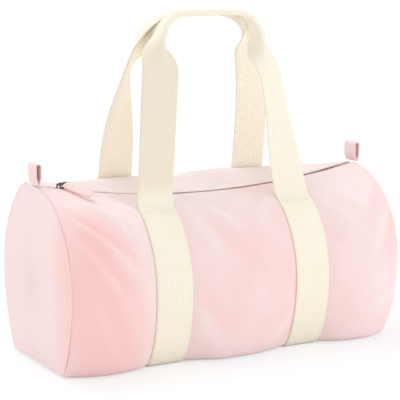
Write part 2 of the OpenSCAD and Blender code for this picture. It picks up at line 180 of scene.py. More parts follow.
def arch_top(x, angle, side):
    """Height of the arch over the zip line, with what the shoulder is spared of the sag. At the left
    end the back shoulder stands up a little more, where the end seam props it, clear of the tab."""
    y = SIDE_HALF * np.sin(angle)
    back_rise = smooth((y - HEM_HALF) / BACK_REACH)
    hold = np.where(side < 0, FRONT_HOLD_SHARE * smooth((y - FRONT_FROM) / FRONT_REACH), back_rise)
    crest = BACK_CREST * (1 - (2 * np.sin(angle) - 1) ** 2) * back_rise
    fold = np.where(side < 0, 0, crest)
    level = smooth((angle - LEVEL_FROM) / (LEVEL_TO - LEVEL_FROM))
    place = level_place(x)
    at_end = smooth((-x - END_LIFT_FROM) / (HALF_LENGTH - END_LIFT_FROM)) * np.where(side > 0, 1, 0)
    clear_of_tab = smooth((y - TAB_ROOM) / TAB_FADE)
    lifted = END_LIFT * at_end * bell((y - END_LIFT_Y) / END_LIFT_REACH) * clear_of_tab
    spared = sag(place) * (hold + fold / sag(0))
    return mix(zip_height(x), zip_height(place), level) + spared + lifted


def arch_point(x, angle, lift, side):
    """Distance from the middle and height of the arched top: a quarter ellipse, grown by lift."""
    wide = SIDE_HALF + SIDE_SWELL * swell(x) + lift
    foot = arch_top(x, angle, side) - ARCH_HEIGHT
    return wide * np.sin(angle), foot + (ARCH_HEIGHT + lift) * np.cos(angle)


def base_height(x):
    """Height of the cloth under the bag: on the webbing at the straps and near the floor between."""
    return mix(STRAP_LIFT, SAG_GAP, np.sqrt(swell(x)))


def side_point(x, u, lift, side):
    """The side: a cubic Bezier curve that drops from the widest line and turns under to the base."""
    away = (np.abs(x) - STRAP_OUT) / (HALF_LENGTH - STRAP_OUT)
    corner = mix(mix(STRAP_CORNER, SEAM_CORNER, np.clip(away, 0, 1)), SWELL_CORNER, swell(x))
    y_top = SIDE_HALF + SIDE_SWELL * swell(x) + lift
    z_top = arch_top(x, math.pi / 2 + 0 * x, side) - ARCH_HEIGHT
    y_low = BASE_HALF + BASE_SWELL * swell(x)
    z_low = base_height(x) - lift
    y_turn = y_low + corner + lift
    z_drop = mix(z_top, z_low, SIDE_DROP_SHARE)
    v = 1 - u
    y = v**3 * y_top + 3 * v * v * u * y_top + 3 * v * u * u * y_turn + u**3 * y_low
    z = v**3 * z_top + 3 * v * v * u * z_drop + 3 * v * u * u * z_low + u**3 * z_low
    return y, z


def skin(x, v, lift=0.0, first_angle=HEM_ANGLE):
    """A point of the body's outside. x is along the bag, and v goes round it: 0 at the front hem,
    a half under the middle of the base and 1 at the back hem. lift is the distance outside."""
    x, v = np.broadcast_arrays(np.asarray(x, float), np.asarray(v, float))
    side = np.where(v < 0.5, FRONT, BACK)
    q = hem_share(v)
    angle = mix(first_angle, math.pi / 2, np.clip(q / ARCH_SHARE, 0, 1))
    down = np.clip((q - ARCH_SHARE) / (SIDE_SHARE - ARCH_SHARE), 0, 1)
    under = np.clip((q - SIDE_SHARE) / (1 - SIDE_SHARE), 0, 1)
    arch_y, arch_z = arch_point(x, angle, lift, side)
    side_y, side_z = side_point(x, down, lift, side)
    base_y = (BASE_HALF + BASE_SWELL * swell(x)) * (1 - under)
    y = np.where(q < ARCH_SHARE, arch_y, np.where(q < SIDE_SHARE, side_y, base_y))
    z = np.where(q < ARCH_SHARE, arch_z, np.where(q < SIDE_SHARE, side_z, base_height(x) - lift))
    return np.stack([x, side * y, z], -1)


print("height over the zip's middle:", round(float(skin(0, 0)[2]), 4))

# %% [markdown]
# Every new piece here is a grid of points, so one helper turns a grid into a mesh. It joins each
# point with its neighbours, closes the grid where a form comes back on itself, and writes a UV map
# in metres, so that a weave has the same thread size on every piece.

# %% A mesh from a grid of points
def unit(v):
    """The same directions with length one."""
    return v / np.maximum(np.linalg.norm(v, axis=-1, keepdims=True), 1e-12)


def make_object(name, verts, faces, corner_uv=None):
    """Puts points and faces into a smooth-shaded mesh object at the origin."""
    mesh = bpy.data.meshes.new(name)
    mesh.from_pydata(verts.tolist(), [], faces)
    if corner_uv is not None:
        layer = mesh.uv_layers.new(name="UVMap")
        layer.data.foreach_set("uv", corner_uv.astype(np.float32).ravel())
    mesh.polygons.foreach_set("use_smooth", np.ones(len(mesh.polygons), bool))
    mesh.validate()
    mesh.update()
    piece = bpy.data.objects.new(name, mesh)
    bpy.context.scene.collection.objects.link(piece)
    return piece


def grid_faces(rows, cols, wrap):
    """Corner numbers of a grid's quads, as (faces, 4). If wrapped, its last column joins its first."""
    spans = cols if wrap else cols - 1
    r, c = np.meshgrid(np.arange(rows - 1), np.arange(spans), indexing="ij")
    nxt = (c + 1) % cols
    quads = np.stack([r * cols + c, r * cols + nxt, (r + 1) * cols + nxt, (r + 1) * cols + c], -1)
    return quads.reshape(-1, 4)


def grid_uv(uv):
    """UV of every quad's four corners. A wrapped grid's uv has one column more than its points."""
    a, b = uv[:-1, :-1], uv[:-1, 1:]
    c, d = uv[1:, 1:], uv[1:, :-1]
    return np.stack([a, b, c, d], -2).reshape(-1, 2)


def lengths_along(points, axis):
    """Distance run along an axis of a grid, averaged over the other axis, from 0."""
    steps = np.linalg.norm(np.diff(points, axis=axis), axis=-1).mean(axis=1 - axis)
    return np.concatenate([[0], np.cumsum(steps)])


def grid_object(name, points, wrap=False, flip=False, caps=False):
    """A mesh object from points of shape (rows, cols, 3), with a UV map in metres."""
    rows, cols = points.shape[:2]
    closed = np.concatenate([points, points[:, :1]], 1) if wrap else points
    u, v = np.meshgrid(lengths_along(closed, 0), lengths_along(closed, 1), indexing="ij")
    corner_uv = grid_uv(np.stack([u, v], -1))
    quads = grid_faces(rows, cols, wrap)
    if flip:
        quads = quads[:, ::-1]
        corner_uv = corner_uv.reshape(-1, 4, 2)[:, ::-1].reshape(-1, 2)
    faces = quads.tolist()
    if caps:
        first = list(range(cols))
        last = [(rows - 1) * cols + c for c in range(cols)]
        faces += [first if flip else first[::-1], last[::-1] if flip else last]
        corner_uv = np.concatenate([corner_uv, np.zeros((2 * cols, 2))])
    return make_object(name, points.reshape(-1, 3), faces, corner_uv)


print("quads in a grid of 3 by 4 points:", len(grid_faces(3, 4, False)))

# %% [markdown]
# Cloth is never as smooth as its pattern. Sewn canvas shows pulls, which run from a seam or a
# strap into the panel and fade, and a slow unevenness everywhere. Both are offsets along the
# surface's normal, so they never tear the cloth. A simulation would make folds of its own, but
# the pulls here have known places, so each is one line in a table.

# %% Folds in the cloth
PULL_START_SHARE, PULL_GROWTH = 0.7, 0.8
PULL_FADE_IN, PULL_FADE_OUT = 0.22, 0.45
TROUGH_SHARE, TROUGH_AT = 0.55, 1.5


def pull(x, along, start, end, width, rise):
    """One pulled fold. Across the line from start to end it is a bell of rise with a softer trough
    beside it, it widens on its way, and it fades at both ends."""
    run_x, run_a = end[0] - start[0], end[1] - start[1]
    length = math.hypot(run_x, run_a)
    on_way = ((x - start[0]) * run_x + (along - start[1]) * run_a) / length**2
    off = ((x - start[0]) * run_a - (along - start[1]) * run_x) / length
    spread = width * (PULL_START_SHARE + PULL_GROWTH * np.clip(on_way, 0, 1))
    fade = smooth(on_way / PULL_FADE_IN) * smooth((1 - on_way) / PULL_FADE_OUT)
    trough = TROUGH_SHARE * bell((off - TROUGH_AT * spread) / spread)
    return rise * fade * (bell(off / spread) - trough)


# Each row: start and end as (place along the bag, distance down from the zip's hem), width, rise
FRONT_PULLS = [
    ((-0.236, 0.076), (-0.140, 0.172), 0.0060, 0.0036),
    ((-0.238, 0.108), (-0.160, 0.205), 0.0055, 0.0030),
    ((-0.222, 0.045), (-0.135, 0.100), 0.0070, 0.0030),
    ((-0.236, 0.160), (-0.180, 0.245), 0.0070, 0.0024),
    ((-0.084, 0.020), (0.012, 0.116), 0.0044, 0.0040),
    ((-0.196, 0.052), (-0.150, 0.118), 0.0040, 0.0016),
    ((0.196, 0.036), (0.216, 0.092), 0.0034, 0.0018),
    ((0.178, 0.040), (0.190, 0.090), 0.0034, 0.0014),
    ((-0.076, 0.060), (-0.020, 0.165), 0.010, 0.0022),
    ((0.076, 0.030), (0.020, 0.130), 0.011, 0.0020),
    ((-0.076, 0.190), (-0.015, 0.262), 0.010, 0.0016),
    ((0.076, 0.215), (0.025, 0.268), 0.009, 0.0016),
    ((0.130, 0.070), (0.195, 0.150), 0.009, 0.0020),
    ((0.238, 0.045), (0.172, 0.122), 0.009, 0.0028),
    ((0.238, 0.100), (0.178, 0.180), 0.010, 0.0022),
    ((0.236, 0.205), (0.185, 0.235), 0.009, 0.0024),
]
BACK_PULLS = [
    ((-0.238, 0.070), (-0.160, 0.150), 0.010, 0.0024),
    ((-0.238, 0.150), (-0.175, 0.225), 0.010, 0.0022),
    ((-0.132, 0.110), (-0.190, 0.190), 0.010, 0.0018),
    ((-0.070, 0.060), (0.000, 0.150), 0.011, 0.0024),
    ((0.074, 0.050), (0.010, 0.135), 0.011, 0.0022),
    ((0.074, 0.200), (0.020, 0.262), 0.010, 0.0018),
    ((0.238, 0.080), (0.165, 0.165), 0.010, 0.0026),
    ((0.134, 0.060), (0.200, 0.110), 0.009, 0.0018),
]

# Each row: waves per metre along and round the bag, phase and height
WAVES = [
    (9.0, 5.0, 0.4, 0.00042),
    (-6.0, 11.0, 1.9, 0.00040),
    (17.0, 8.0, 3.1, 0.00026),
    (-21.0, 14.0, 5.2, 0.00020),
    (30.0, -19.0, 0.9, 0.00012),
    (12.0, 27.0, 2.6, 0.00014),
]


def unevenness(x, along):
    """The slow unevenness of the cloth: a sum of slanting sine waves of falling height."""
    return sum(h * np.sin(2 * math.pi * (fx * x + fa * along) + phase) for fx, fa, phase, h in WAVES)


print("pulled folds:", len(FRONT_PULLS), "in front and", len(BACK_PULLS), "behind")

# %% [markdown]
# The offsets fade out where something holds the cloth: under the straps, at the zip's hems, where
# the puller has to slide, and on the base. Beside each strap the cloth swells a little more than
# its solid, because the webbing is sewn on under tension.

# %% The dressed surface of the body
PLUMP, PLUMP_POWER = 0.0035, 0.7
ZIP_FREE_FROM, ZIP_FREE_REACH = 0.030, 0.045
BASE_HELD_FROM, BASE_HELD_REACH = 0.70, 0.09
NEAR_ZIP_SHARE = 0.25
BACK_WAVES_FROM = 0.9
STRAP_FADE = 0.014
SEAM_ROLL = 0.004
SEAM_DIP = 0.0014
SLACK_X, SLACK_REACH, SLACK_DIP = -0.052, 0.050, 0.012
SLACK_FROM, SLACK_RISE, SLACK_DEEP = 0.012, 0.020, 0.100
HEM_ROLL, HEM_DIP_SHARE = 0.0018, 0.8
HEM_WIDTH = 0.007
HEM_STEP, HEM_STEP_REACH = 0.0005, 0.0015
PROBE = 0.001


def off_zip(v):
    """How free the cloth is of the zip: 0 beside the hems and 1 a little way down."""
    return smooth((hem_distance(v) - ZIP_FREE_FROM) / ZIP_FREE_REACH)


def off_base(v):
    """1 on the top and the sides, and 0 where the cloth has turned under."""
    return 1 - smooth((hem_share(v) - BASE_HELD_FROM) / BASE_HELD_REACH)


def plumpness(x, v):
    """How much more the cloth swells between the straps than its solid, away from zip and base."""
    return PLUMP * swell(x) ** PLUMP_POWER * off_zip(v) * off_base(v)


def strap_free(x):
    """How free the cloth is of the straps: 0 under them and 1 a little way off."""
    from_strap = np.maximum(0, np.abs(np.abs(x) - STRAP_X) - WEBBING_WIDTH / 2)
    return smooth(from_strap / STRAP_FADE)


def slack(x, v):
    """The dip of the back shoulder behind the zip, at the left of the middle."""
    along = hem_distance(v)
    place = smooth((along - SLACK_FROM) / SLACK_RISE) * bell(along / SLACK_DEEP)
    dip = SLACK_DIP * bell((x - SLACK_X) / SLACK_REACH) * place * strap_free(x)
    return np.where(v < 0.5, 0, -dip)


def creases(x, v):
    """The pulled folds and the slow unevenness of the cloth."""
    in_front = v < 0.5
    along = hem_distance(v)
    front = sum(pull(x, along, *row) for row in FRONT_PULLS)
    back = sum(pull(x, along, *row) for row in BACK_PULLS)
    pulls = np.where(in_front, front, back)
    waves = unevenness(x, np.where(in_front, along, BACK_WAVES_FROM - along))
    return (pulls + waves) * strap_free(x) * mix(NEAR_ZIP_SHARE, 1, off_zip(v)) * off_base(v)


def folds(x, v):
    """Offset of the cloth from its even form, in metres, at a place x, v of the skin."""
    return plumpness(x, v) + slack(x, v) + creases(x, v)


def edge_dip(x, v):
    """The cloth rolls inwards at the end seams and the zip's hems, and the folded hem is thicker."""
    to_seam = np.clip((np.abs(x) - HALF_LENGTH + SEAM_ROLL) / SEAM_ROLL, 0, 1)
    seam = SEAM_DIP * (1 - np.sqrt(1 - to_seam**2))
    along = hem_distance(v)
    to_hem = np.clip(1 - along / HEM_ROLL, 0, 1)
    hem = CLOTH * HEM_DIP_SHARE * (1 - np.sqrt(1 - to_hem**2))
    step = HEM_STEP * (1 - smooth((along - HEM_WIDTH) / HEM_STEP_REACH))
    return step - seam - hem


def dressed(x, v, extra=0.0):
    """The skin with its folds and rolled edges, kept off the floor. A second skin, PROBE outside
    the first, gives the outward direction."""
    base = skin(x, v)
    out = unit(skin(x, v, PROBE) - base)
    offset = folds(x, v) + edge_dip(x, v) + extra
    points = base + out * offset[..., None]
    points[..., 2] = np.maximum(points[..., 2], SAG_GAP)
    return points


zip_middle = dressed(np.zeros(1), np.zeros(1))[0]
print("height of the dressed cloth at the zip's middle:", round(float(zip_middle[2]), 4))

# %% [markdown]
# The canvas is painted paler where light falls fully and deeper where it lies in shade: painted light
# and painted shade.
# One number for each point carries this to the material, under the name "tone".

# %% The painted light and shade of the cloth
# Each row: place along the bag and distance down from the hem, reach of each, and tone. A positive
# tone is painted light and paler, a negative one is painted shade and deeper.
PAINTED_LIGHT_SPOTS = [
    ((-0.214, 0.205), (0.040, 0.070), -1.10),
    ((-0.202, 0.120), (0.032, 0.044), -0.75),
    ((-0.164, 0.045), (0.050, 0.042), 0.35),
    ((-0.172, 0.225), (0.030, 0.060), -0.60),
    ((-0.135, 0.150), (0.018, 0.090), 0.35),
    ((-0.040, 0.030), (0.090, 0.045), 0.85),
    ((0.020, 0.150), (0.075, 0.060), -0.10),
    ((0.180, 0.040), (0.060, 0.050), 0.75),
    ((0.200, 0.200), (0.040, 0.090), 0.30),
    ((0.000, 0.285), (0.300, 0.030), 0.60),
]
# Fold crests are painted paler and fold troughs deeper: painted light and painted shade.
FOLD_PAINTED_LIGHT = 150.0
# The cloth behind the zip is painted paler: painted light on its up-facing shoulder.
BACK_PAINTED_LIGHT, BACK_PAINTED_LIGHT_REACH, BACK_HUMP_SHARE = 0.9, 0.080, 0.3


def body_painted_light(x, v):
    """Painted light and shade over the body: a sum of soft humps, painted light on the cloth behind
    the zip, and painted light on raised cloth with painted shade where it is sunk."""
    along = hem_distance(v)
    humps = sum(tone * bell((x - at) / wide) * bell((along - down) / deep)
                for (at, down), (wide, deep), tone in PAINTED_LIGHT_SPOTS)
    behind = BACK_PAINTED_LIGHT * bell(along / BACK_PAINTED_LIGHT_REACH) + BACK_HUMP_SHARE * humps
    return np.where(v > 0.5, behind, humps) + FOLD_PAINTED_LIGHT * creases(x, v)


def write_painted_light(piece, tone):
    """Keeps one number for each point, its painted light and shade, which the material reads by its
    name.
    """
    layer = piece.data.attributes.new("tone", "FLOAT", "POINT")
    layer.data.foreach_set("value", np.ascontiguousarray(tone, np.float32).ravel())


print("humps of tone:", len(PAINTED_LIGHT_SPOTS))

# %% [markdown]
# The body is then one grid. Its columns crowd at the seams and its rows at the hems, because the
# cloth rolls over there within a few millimetres. A modifier gives the sheet its thickness.

# %% The canvas of the body
def thicken(piece):
    """Gives a sheet of canvas its thickness, inwards."""
    shell = piece.modifiers.new("canvas", "SOLIDIFY")
    shell.thickness = CLOTH
    shell.offset = -1


INSIDE_GAP, STRAP_MARGIN, OUTSIDE_GAP = 0.004, 0.002, 0.005
ROLL_FROM, SHORT_OF_SEAM = 0.15, 0.999
ROW_STEP = 0.002
roll = 1 - np.sin(np.linspace(ROLL_FROM, 1, 6) * math.pi / 2)
right_places = np.concatenate([
    np.linspace(0, STRAP_IN - INSIDE_GAP, 20),
    np.linspace(STRAP_IN - STRAP_MARGIN, STRAP_OUT + STRAP_MARGIN, 14),
    np.linspace(STRAP_OUT + OUTSIDE_GAP, HALF_LENGTH - SEAM_ROLL, 26),
    HALF_LENGTH - SEAM_ROLL * roll * SHORT_OF_SEAM,
])
places = np.concatenate([-right_places[:0:-1], right_places])
hem_rows = np.linspace(0, HEM_ROLL, 4) / HALF_GIRTH / 2
arch_rows = np.linspace(hem_rows[-1] + ROW_STEP, 0.5, 96)
rounds = np.concatenate([hem_rows, arch_rows, 1 - np.concatenate([hem_rows, arch_rows[:-1]])[::-1]])
body_points = dressed(places[:, None], rounds[None, :])
body_canvas = grid_object("body_canvas", body_points)
# Painted light and shade on the body, kept as its tone.
write_painted_light(body_canvas, body_painted_light(places[:, None], rounds[None, :]))
thicken(body_canvas)
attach(body_canvas, "bag")
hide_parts("body_panel")
print("body canvas:", body_points.shape[:2], "points")

# %% [markdown]
# The end panels are discs of canvas. A real one is sewn in with its edge turned inwards, which
# leaves a rolled ridge along the seam, and the cloth inside it bows out. Rings of the body's own
# outline make it, from the seam to one point in the middle, so the two panels meet all round.

# %% End panels
END_BOW, BOW_REACH, BOW_POWER = 0.008, 0.020, 0.8
RIDGE_WIDTH, RIDGE_HEIGHT, RIDGE_POWER = 0.0050, 0.0011, 0.8
TUCK, TUCK_REACH, TUCK_UNDER = 0.0012, 0.0016, 0.0003
RING_POWER = 0.9
LOWER_SWELL, SPREAD = 0.0025, 0.9
PLEATS, PLEAT_PHASE, PLEAT_HEIGHT = 11, 1.0, 0.0010
WAVE_POWER, WAVE_REACH = 1.5, 0.030
# The panel is painted paler, a painted light, and deeper towards its front edge, a painted shade.
END_PAINTED_LIGHT = 0.30
EDGE_PAINTED_SHADE, EDGE_FROM, EDGE_REACH = 0.80, 0.050, 0.055
CENTRE_SHARE = 0.46
OUTLINE_STEPS = 180

# Each row: waves round the panel, phase and height
END_WAVES = [(3, 0.6, 0.0011), (5, 2.0, 0.0007)]


def outline(side):
    """The closed outline of the body at a seam, as (points, 3), without its dip."""
    v = (np.arange(OUTLINE_STEPS) + 0.5) / OUTLINE_STEPS
    return skin(side * HALF_LENGTH, v, 0.0, first_angle=0.0)


def end_panel(name, side, node):
    """Rings shrink towards the middle. The first is tucked into the body's cloth. The next lie at
    the seam, plus a ridge, half a sine wave as wide as the turned edge, plus a bow that grows with
    one minus the square of the ring's share."""
    edge = outline(side)
    centre = np.array([side * HALF_LENGTH, 0, zip_height(HALF_LENGTH) * CENTRE_SHARE])
    radius = np.linalg.norm(edge - centre, axis=1)
    near = np.linspace(0, RIDGE_WIDTH, 9)
    far = np.linspace(RIDGE_WIDTH * 1.5, 1, 26)
    near_rings = np.tile(near[:, None], (1, OUTLINE_STEPS))
    inset = np.concatenate([near_rings, far[1:, None] ** RING_POWER * radius])
    share = np.clip(1 - inset / radius, 0, 1)
    ridge = RIDGE_HEIGHT * np.sin(math.pi * np.clip(inset / RIDGE_WIDTH, 0, 1)) ** RIDGE_POWER
    bow = END_BOW * smooth(inset / BOW_REACH) * (1 - share**2) ** BOW_POWER
    turn = np.arctan2(edge[:, 2] - centre[2], edge[:, 1])
    soft = sum(height * np.sin(count * turn + phase) for count, phase, height in END_WAVES)
    lower = bell((turn + math.pi / 2) / SPREAD) * LOWER_SWELL
    above = bell((turn - math.pi / 2) / SPREAD)
    pleat = PLEAT_HEIGHT * np.sin(PLEATS * turn + PLEAT_PHASE) * above
    wave = (soft + lower + pleat) * share**WAVE_POWER * smooth(inset / WAVE_REACH)
    points = centre + (edge - centre) * share[..., None]
    tuck = 1 - smooth(inset / TUCK_REACH)
    points[..., 0] += side * (ridge + bow + wave - TUCK * tuck)
    points[..., 1:] -= unit(edge - centre)[:, 1:] * ((SEAM_DIP + TUCK_UNDER) * tuck)[..., None]
    piece = grid_object(name, points, wrap=True, flip=side < 0)
    # Painted light over the panel and painted shade towards its front edge, kept as its tone.
    write_painted_light(piece, END_PAINTED_LIGHT - EDGE_PAINTED_SHADE * smooth((-points[..., 1] - EDGE_FROM) / EDGE_REACH))
    thicken(piece)
    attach(piece, "bag")
    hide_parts(node)
    return piece


left_end = end_panel("left_end_canvas", -1, "left_end_panel")
right_end = end_panel("right_end_canvas", 1, "right_end_panel")
print("end panels:", len(left_end.data.vertices), "points each")

# %% [markdown]
# Webbing is a flat band with soft edges. It is carried along a path: at each step there is a
# direction across the band and one out of its face. Its section is a thin rectangle with round
# edges. The same section can be bent at its middle, because the real handles are folded in half
# lengthwise over the grip, which a twist of the whole band would not show.

# %% A band along a path
BEND = 0.0048
CROWDING = 1.25


def across_way(turn):
    """The band's own direction across, in the section, where it has turned by turn."""
    return np.stack([np.cos(turn), -np.sin(turn)])


def bent_section(fold, width, thick, across):
    """Points round the band for each fold angle, as (rows, points, 2) of (across, out) from the
    crease. The band's direction turns evenly over BEND each side of the crease and is straight
    beyond it; its place is the running sum of that direction. The points crowd to the crease."""
    s = np.linspace(-1, 1, across)
    s = np.sign(s) * np.abs(s) ** CROWDING * (width / 2 - thick / 2)
    middle = (s[1:] + s[:-1]) / 2
    step = np.diff(s) * across_way(fold[:, None] * np.clip(middle / BEND, -1, 1))
    start = np.zeros((2, len(fold), 1))
    run = np.concatenate([start, np.cumsum(step, -1)], -1)
    run = run - run[..., across // 2, None]
    turn = fold[:, None] * np.clip(s / BEND, -1, 1)
    out = np.stack([np.sin(turn), np.cos(turn)])
    high, low = run + out * thick / 2, run - out * thick / 2
    rim = np.linspace(-math.pi / 2, math.pi / 2, 5)[1:-1][::-1]
    way, rise, bulge = across_way(turn), np.sin(rim), np.cos(rim)
    right = run[..., -1:] + thick / 2 * (out[..., -1:] * rise + way[..., -1:] * bulge)
    left = run[..., :1] - thick / 2 * (out[..., :1] * rise + way[..., :1] * bulge)
    ring = np.concatenate([high, right, low[..., ::-1], left], -1)
    return np.moveaxis(ring, 0, -1)


def band(name, path, across, face, width, thick, fold=None, steps=21, flip=False):
    """Carries the section along the path, with across and face as its two directions."""
    fold = np.zeros(len(path)) if fold is None else fold
    ring = bent_section(fold, width, thick, steps)
    points = path[:, None] + across[:, None] * ring[..., :1] + face[:, None] * ring[..., 1:]
    return grid_object(name, points, wrap=True, caps=True, flip=flip)


def even_steps(path, spacing, *others):
    """The same path with points a fixed distance apart, and other rows resampled with it."""
    run = np.concatenate([[0], np.cumsum(np.linalg.norm(np.diff(path, axis=0), axis=1))])
    count = max(2, int(round(run[-1] / spacing)) + 1)
    at = np.linspace(0, run[-1], count)
    spread = [np.stack([np.interp(at, run, rows[:, k]) for k in range(rows.shape[1])], -1)
              for rows in (path, *others)]
    return spread if others else spread[0]


def soften(rows, reach):
    """Averages each point with its neighbours up to reach steps away, which rounds a sharp fold."""
    kernel = np.hanning(2 * reach + 3)[1:-1]
    kernel /= kernel.sum()
    padded = np.pad(rows, ((reach, reach), (0, 0)), mode="edge")
    return np.stack([np.convolve(padded[:, k], kernel, "valid") for k in range(rows.shape[1])], -1)


print("points round a band:", bent_section(np.zeros(1), WEBBING_WIDTH, WEBBING_THICK, 21).shape[1])

# %% [markdown]
# Each webbing comes up the side of the bag, leaves it at a row of stitches and becomes the handle.
# Its two halves close over the grip, with the crease outwards. The strap and the handle are one band
# here, as they are on the bench.

# %% The path of a webbing
HANDLE_TOP_Z = 0.442
HANDLE_TOP_Y = 0.027
GRIP_FOLD = math.radians(94.5)
LEG_GAP = 0.0004
ROOT_SHARE = 0.12

# Each leg hangs its own way, left and then right. A row gives its turn in degrees, where on the
# path the turn is reached, where the fold starts and ends, and the pulls of the path's corners.
LEGS = {
    FRONT: ((5, 0.22, 0.31, 0.50, 0.66, 0.86, 1.06), (27, 0.22, 0.28, 0.50, 0.66, 0.86, 1.06)),
    BACK: ((58, 0.34, 0.31, 0.60, 1.02, 0.69, 0.985), (0, 0.22, 0.38, 0.64, 1, 0.8, 0.985)),
}
LEAN_PULL_SHARE = 1.15
EVEN_CLOSING_SHARE = 0.75
STEP, SOFT_STEPS = 0.0025, 6
STRAP_TOP_SHARE = ARCH_SHARE * (STRAP_ANGLE - HEM_ANGLE) / (math.pi / 2 - HEM_ANGLE)


def handle_root(side):
    """Distance from the middle and height of the fold line: the outer top edge of the sewn strap."""
    y, z = arch_point(np.array(STRAP_X), np.array(STRAP_ANGLE), STRAP_LIFT, side)
    return float(y), float(z)


def strap_half(side):
    """The sewn strap at the left, from the base's edge up to the fold, half its thickness out."""
    v = round_place(np.linspace(SIDE_SHARE, STRAP_TOP_SHARE, 90), side)
    path = skin(-STRAP_X, v, SEAT + WEBBING_THICK / 2)
    face = unit(skin(-STRAP_X, v, STRAP_LIFT + PROBE) - skin(-STRAP_X, v, STRAP_LIFT))
    return path, np.tile([1.0, 0, 0], (len(path), 1)), face, np.zeros((len(path), 1))


def bezier(corners, t):
    """A point of the cubic curve with four corners, at shares t."""
    v = 1 - t
    return (v**3 * corners[0] + 3 * v * v * t * corners[1]
            + 3 * v * t * t * corners[2] + t**3 * corners[3])


def handle_half(side, degrees, turned_at, fold_from, fold_to, low, high, up):
    """One half of the handle, drawn at the left and the front: the crease follows a cubic curve, the
    leg is turned about it, and both halves bend back evenly between two shares of the path."""
    root_y, root_z = handle_root(side)
    z0 = root_z + LEG_GAP
    rise = HANDLE_TOP_Z - z0
    lean = math.atan2(root_y - HANDLE_TOP_Y, rise)
    y0 = -root_y + WEBBING_THICK / 2 / math.cos(lean)
    corners = np.array([
        [-STRAP_X, y0, z0],
        [-STRAP_X * low, mix(y0, -HANDLE_TOP_Y, LEAN_PULL_SHARE), z0 + rise * up],
        [-STRAP_X * high, -HANDLE_TOP_Y, HANDLE_TOP_Z],
        [0, -HANDLE_TOP_Y, HANDLE_TOP_Z],
    ])
    t = np.linspace(0, 1, 160)[:, None]
    path = bezier(corners, t)
    along = unit(np.gradient(path, axis=0))
    level_face = unit(np.array([0, -1.0, 0]) + along[:, 1:2] * along)
    crossed = np.cross(along, level_face)
    level_across = unit(mix(np.array([1.0, 0, 0]), crossed, smooth(t / ROOT_SHARE)))
    closing = np.clip((t - fold_from) / (fold_to - fold_from), 0, 1)
    turn = math.radians(degrees) * smooth(t / turned_at) * (1 - smooth(closing))
    across = level_across * np.cos(turn) + level_face * np.sin(turn)
    face = level_face * np.cos(turn) - level_across * np.sin(turn)
    return path, across, face, GRIP_FOLD * mix(closing, smooth(closing), EVEN_CLOSING_SHARE)


def webbing_rows(side):
    """Path, across, face and fold of a whole webbing: strap, handle and strap, evenly spaced."""
    halves = []
    for leg in LEGS[side]:
        handle = list(handle_half(side, *leg))
        if side > 0:
            handle[:3] = [rows * [1, -1, 1] for rows in handle[:3]]
        halves.append([np.concatenate(pair) for pair in zip(strap_half(side), handle)])
    mirror = ([-1, 1, 1], [-1, 1, 1], [-1, 1, 1], [1])
    whole = [np.concatenate([left, right[-2::-1] * flip])
             for left, right, flip in zip(*halves, mirror)]
    spaced = even_steps(whole[0], STEP, *whole[1:])
    path, across, face, fold = (soften(rows, SOFT_STEPS) for rows in spaced)
    return path, unit(across), unit(face), fold[:, 0]


WEBBING_ROWS = {side: webbing_rows(side) for side in (FRONT, BACK)}
print("steps along the webbings:", [len(rows[0]) for rows in WEBBING_ROWS.values()])

# %% [markdown]
# The band is laid along those rows.

# %% The webbings
def webbing(name, side, nodes):
    """The band along that path, in place of the solids it stands for."""
    path, across, face, fold = WEBBING_ROWS[side]
    piece = band(name, path, across, face, WEBBING_WIDTH, WEBBING_THICK, fold, flip=side > 0)
    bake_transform(piece)
    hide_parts(*nodes)
    return piece


front_webbing = webbing("front_webbing", FRONT,
                        ["left_strap_front", "right_strap_front", "front_handle"])
back_webbing = webbing("back_webbing", BACK,
                       ["left_strap_back", "right_strap_back", "back_handle"])
print("webbings:", len(front_webbing.data.vertices), len(back_webbing.data.vertices), "points")

# %% [markdown]
# One leg in front is painted greyer than the rest, a painted shade and no change of form. The run of
# each webbing under the base is a plain flat band, and stays with the bag.

# %% The leg's painted shade, and the base
LEG_SHADE_FROM, LEG_SHADE_TO, LEG_SHADE_FADE = 0.205, 0.385, 0.035


def leg_painted_shade(path):
    """Painted shade: the left leg is a little greyer from its root to the grip."""
    rising = smooth((path[:, 2] - LEG_SHADE_FROM) / LEG_SHADE_FADE)
    ending = 1 - smooth((path[:, 2] - LEG_SHADE_TO) / LEG_SHADE_FADE)
    return -rising * ending * (path[:, 0] < 0)


# Painted shade on the front left leg, kept as the webbing's tone.
grey = leg_painted_shade(WEBBING_ROWS[FRONT][0])
write_painted_light(front_webbing, np.repeat(grey, len(front_webbing.data.vertices) // len(grey)))


def base_webbing(name, end, node):
    """The run of webbing under the base, flat on the floor."""
    y = np.linspace(-BASE_HALF, BASE_HALF, 30)
    path = np.stack([np.full_like(y, end * STRAP_X), y, np.full_like(y, WEBBING_THICK / 2)], -1)
    across = np.tile([1.0, 0, 0], (len(y), 1))
    face = np.tile([0, 0, -1.0], (len(y), 1))
    piece = band(name, path, across, face, WEBBING_WIDTH, WEBBING_THICK, flip=True)
    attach(piece, "bag")
    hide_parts(node)
    return piece


left_base = base_webbing("left_base_webbing", -1, "left_strap_base")
right_base = base_webbing("right_base_webbing", 1, "right_strap_base")
print("base webbings made")

# %% [markdown]
# The tapes of the zip, and the tapes that cover the raw edges inside, are thin bands too. The zip's
# tapes run along its arc, bent down at their outer edges to lie against the canvas.

# %% Zip tapes and seam tapes
TAPE_THICK = 0.0007
TAPE_WIDTH = 0.013
TAPE_ROOM = 0.0001
TAPE_DEPTH = CLOTH + SEAT + TAPE_ROOM
TAPE_EDGE = 0.0031
TAPE_HALF = HALF_LENGTH - 2 * SEAT


